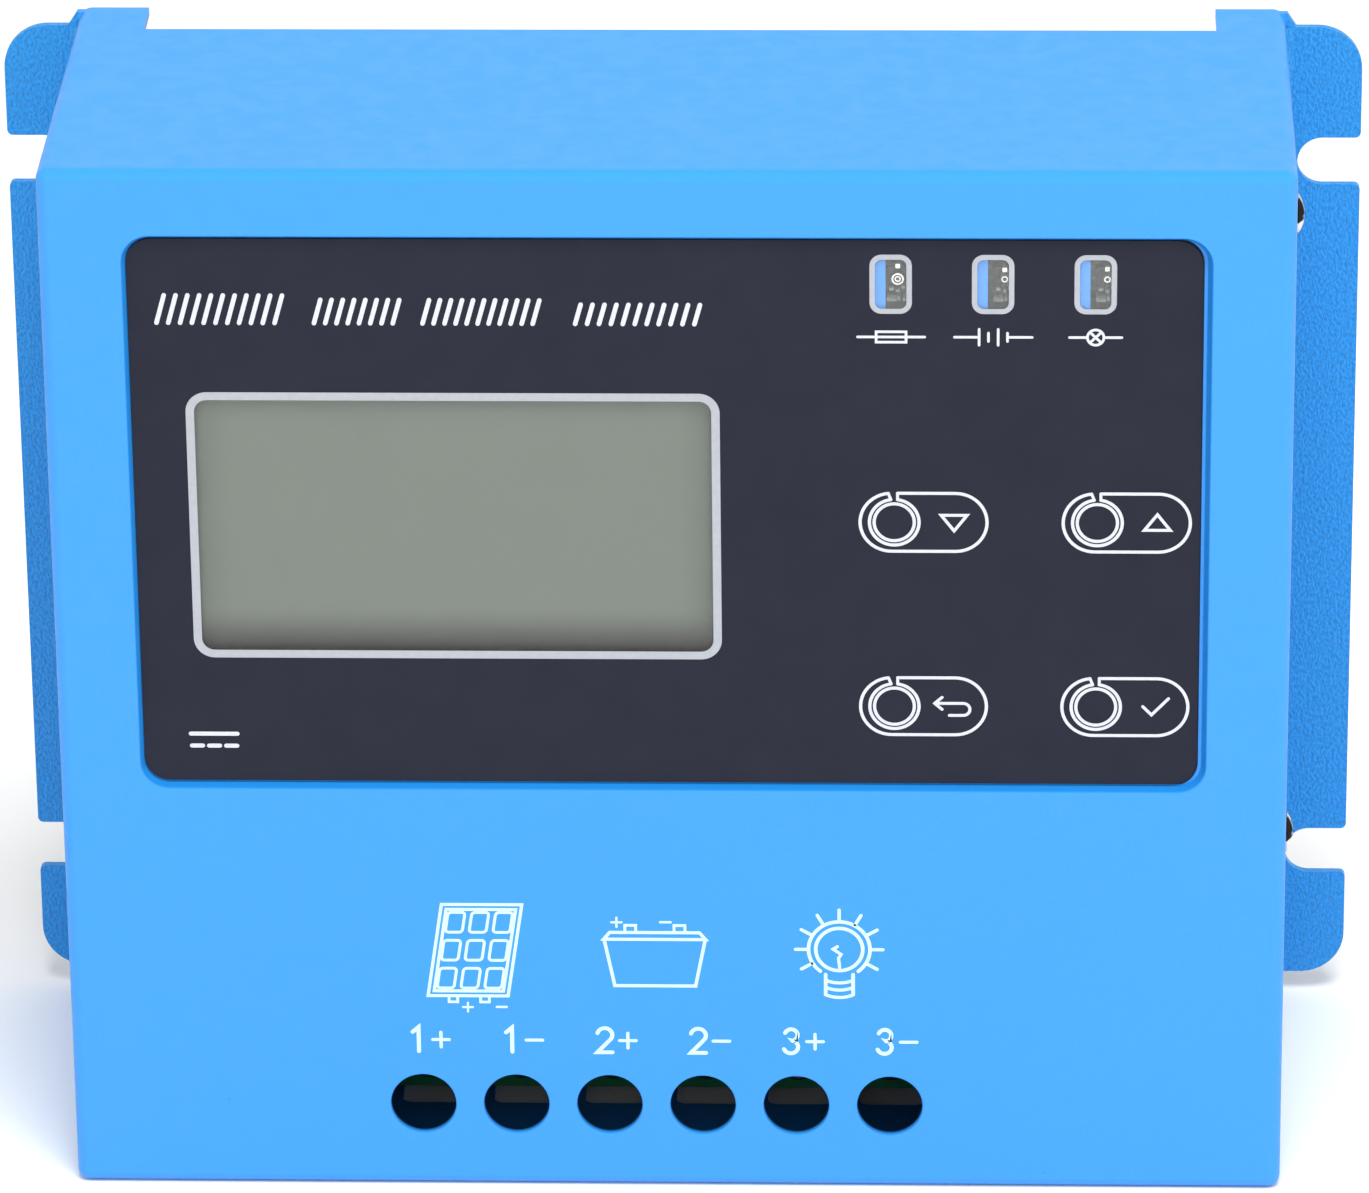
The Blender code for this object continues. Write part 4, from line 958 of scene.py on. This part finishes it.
def build_lamp(name, window_x, mask, bright, dull, film):
    """One indicator lamp: a low body on the board, the bright rings of its lens, solder and a film window."""
    shift, ring, thick, eye, rise = LAMPS[name]
    node = f"indicator_{name}"
    face, board = low(node).y, low("display_board").y
    centre = x, z = middle(node).x + shift, middle(node).z
    size = high(node) - low(node)

    def body(bm):
        prism(bm, rounded(about(x, size.x / 2), about(z, size.z / 2), 0.5), "Y", (face + 0.9, board - 0.05))
        lens = ((0, 0.1), (0.7, 0.1), (0.95, 0.3), (0.95, 0.85), (0, 0.85))
        turned(bm, [(radius, face + depth) for radius, depth in lens], "Y", centre, 32)

    def rings(bm):
        outer, inner = (circle(centre, radius, 32) for radius in (ring + thick / 2, ring - thick / 2))
        ribbon(bm, outer, inner, (face, face + 0.2))
        if eye:
            ribbon(bm, circle(centre, eye, 24), circle(centre, eye - 0.18, 24), (face + 0.02, face + 0.2))

    def pad(bm):
        prism(bm, rounded(about(x, 0.32), about(z + rise, 0.32), 0.1, 4), "Y", (face, board - 0.02))

    def solder(bm):
        for dx, dz, wide, tall, depth in SOLDER_DROPS:
            outline = rounded(about(x + dx, wide), about(z + dz, tall), min(wide, tall) * 0.5, 4)
            prism(bm, outline, "Y", (face + depth, board - 0.02))

    def window(bm):
        wide, tall = (length / 2 - 0.02 for length in LED_WINDOW_SIZE)
        outline = rounded(about(window_x, wide), about(LED_WINDOW_Z, tall), 1.38, 6)
        prism(bm, outline, "Y", (OVERLAY_FRONT + 0.04, OVERLAY_FRONT + 0.16))

    add(mesh_object(f"lamp_body_{name}", body, mask), [node])
    add(mesh_object(f"lamp_rings_{name}", rings, bright))
    add(mesh_object(f"lamp_pad_{name}", pad, bright))
    add(mesh_object(f"lamp_solder_{name}", solder, dull))
    add(mesh_object(f"indicator_window_{name}", window, film))


def build_lamps():
    mask = moulded("lamp_body", LAMP_GREY, 0.4)
    bright = brushed("bright_solder", BRIGHT_SOLDER, 0.16, size=0.3)
    dull = brushed("dull_solder", DULL_SOLDER, 0.4, size=0.3, metallic=0.1)
    film = clear_film("indicator_window_film", 0.075)
    for name, x in zip(LED_NAMES, LED_WINDOW_X):
        build_lamp(name, x, mask, bright, dull, film)


def build_label_edge():
    """A painted shadow: the dark line that the overlay's edge casts round it on the recess floor."""
    start, end = low("front_overlay"), high("front_overlay")
    outer = rounded((start.x - 0.12, end.x + 0.22), (start.z - 0.42, end.z + 0.15), 3.5, 12)
    inner = rounded((start.x + 0.3, end.x - 0.3), (start.z + 0.3, end.z - 0.3), 3.1, 12)

    def draw(bm):
        ribbon(bm, outer, inner, (RECESS_FLOOR - 0.03, RECESS_FLOOR + 0.02))

    # Painted shadow, with a lighter tone that varies at random.
    paint = Paint("label_shadow", LABEL_EDGE_SHADOW, 0.5, specular=0.2)
    paint.mottle(paint.noise(0.8), 0.35, 0.7, 0.5, LABEL_EDGE_SHADOW_THIN)
    add(mesh_object("label_shadow_edge", draw, paint.material, smooth=None))


def finish_cad_nodes():
    """Gives each CAD node its material, by its name or its family's, and soft edges where it needs them."""
    film = overlay_film()
    black = moulded("black_plastic", BLACK_PLASTIC, 0.45)
    zinc = brushed("plated_screw", SCREW_ZINC, 0.28, size=0.8)
    looks = {
        "front_overlay": film,
        "key": film,
        "display_window": clear_film("display_window_film", 0.03),
        "display_glass": polariser(),
        "display_backlight": moulded("diffuser", DIFFUSER, 0.6),
        "display_bezel": brushed("bezel_steel", BEZEL_STEEL, 0.5, size=0.5, metallic=0.6),
        "display_board": circuit_board("display_board_mask", *DISPLAY_BOARD),
        "main_board": circuit_board("main_board_mask", *MAIN_BOARD),
        "board_connector": black,
        "key_switch": black,
        "power_transistor": black,
        "terminal_housing": moulded("terminal_green", TERMINAL_GREEN, 0.6, specular=0.15),
        "chassis_tray": galvanised(),
        "heatsink": brushed("extruded_aluminium", ALUMINIUM, 0.36, (1, 1, 0.01), 0.5),
        "inductor_core": moulded("core_coating", CORE_YELLOW, 0.55, 0.5),
        "inductor_winding": wound_wire(),
        "capacitor": moulded("capacitor_sleeve", SLEEVE_BLUE, 0.3, 0.8),
    }
    for name, node in NODES.items():
        family = name.rsplit("_", 1)[0]
        node.data.materials.clear()
        node.data.materials.append(looks.get(name) or looks.get(family, zinc))
    widths = {"heatsink": 0.25, "terminal_housing": 0.3, "chassis_tray": 0.15, "main_board": 0.1,
              "display_bezel": 0.2, "front_overlay": 0.04, "board_connector": 0.2}
    widths |= {f"terminal_screw_{number}": 0.25 for number in TERMINALS}
    for name, width in widths.items():
        soften(NODES[name], width)


# ---------------------------------------------------------------- room

def build_stage():
    """Pale floor, a world that is darker overhead, and two soft lights."""
    paint = Paint("floor", FLOOR, 0.7, specular=0.1)
    paint.mottle(paint.noise(180.0, 2.0), 0.3, 0.7, 0.3, FLOOR_SHADE)
    bpy.ops.mesh.primitive_plane_add(size=FLOOR_SIZE, location=(0, 0.4, 0))
    floor = bpy.context.object
    floor.name = "floor"
    floor.data.materials.append(paint.material)

    world = bpy.data.worlds.new("studio")
    world.use_nodes = True
    nodes, links = world.node_tree.nodes, world.node_tree.links
    split = nodes.new("ShaderNodeSeparateXYZ")
    fade = nodes.new("ShaderNodeMapRange")
    fade.inputs["From Min"].default_value, fade.inputs["From Max"].default_value = SKY_HEIGHTS
    fade.inputs["To Min"].default_value, fade.inputs["To Max"].default_value = SKY_STRENGTHS
    links.new(nodes.new("ShaderNodeTexCoord").outputs["Generated"], split.inputs[0])
    links.new(split.outputs["Z"], fade.inputs["Value"])
    links.new(fade.outputs["Result"], nodes["Background"].inputs["Strength"])
    nodes["Background"].inputs["Color"].default_value = (1.0, 1.0, 1.0, 1.0)
    bpy.context.scene.world = world

    for name, location, size, watts in LIGHTS:
        lamp = bpy.data.lights.new(name, "AREA")
        lamp.shape, lamp.size, lamp.energy = "SQUARE", size, watts
        holder = bpy.data.objects.new(name, lamp)
        holder.visible_glossy = False
        holder.location = location
        holder.rotation_euler = (Vector(LIGHT_TARGET) - holder.location).to_track_quat("-Z", "Y").to_euler()
        bpy.context.scene.collection.objects.link(holder)


def build_camera():
    """Long lens from above, slightly right of the middle."""
    data = bpy.data.cameras.new("camera")
    data.sensor_width, data.lens = CAMERA_SENSOR, CAMERA_LENS
    data.clip_start, data.clip_end = 0.05, 20.0
    camera = bpy.data.objects.new("camera", data)
    yaw, pitch, roll = (math.radians(angle) for angle in (CAMERA_YAW, CAMERA_PITCH, CAMERA_ROLL))
    ahead = Vector((math.sin(yaw) * math.cos(pitch), math.cos(yaw) * math.cos(pitch), -math.sin(pitch)))
    right = Vector((math.cos(yaw), -math.sin(yaw), 0))
    up = right.cross(ahead)
    right, up = (math.cos(roll) * right + math.sin(roll) * up, math.cos(roll) * up - math.sin(roll) * right)
    turn = Matrix((right, up, -ahead)).transposed().to_4x4()
    camera.matrix_world = Matrix.Translation(Vector(CAMERA_PLACE) * MM) @ turn
    bpy.context.scene.collection.objects.link(camera)
    bpy.context.scene.camera = camera


def main():
    finish_cad_nodes()
    build_cover()
    light_ink = ink("ink_on_blue", INK_ON_BLUE, 0.12)
    silver_ink = ink("silver_ink", SILVER_INK, 0.2)
    border_ink = ink("border_ink", BORDER_INK, 0.2)
    for draw in (terminal_legends, panel_picture, battery_picture, lamp_picture):
        draw(light_ink)
    key_prints(silver_ink)
    indicator_prints(silver_ink, border_ink)
    display_border(border_ink)
    title_bars(silver_ink)
    build_side_screws()
    build_label_edge()
    build_lamps()
    build_stage()
    build_camera()
    bpy.context.scene.view_settings.view_transform = "Standard"


main()
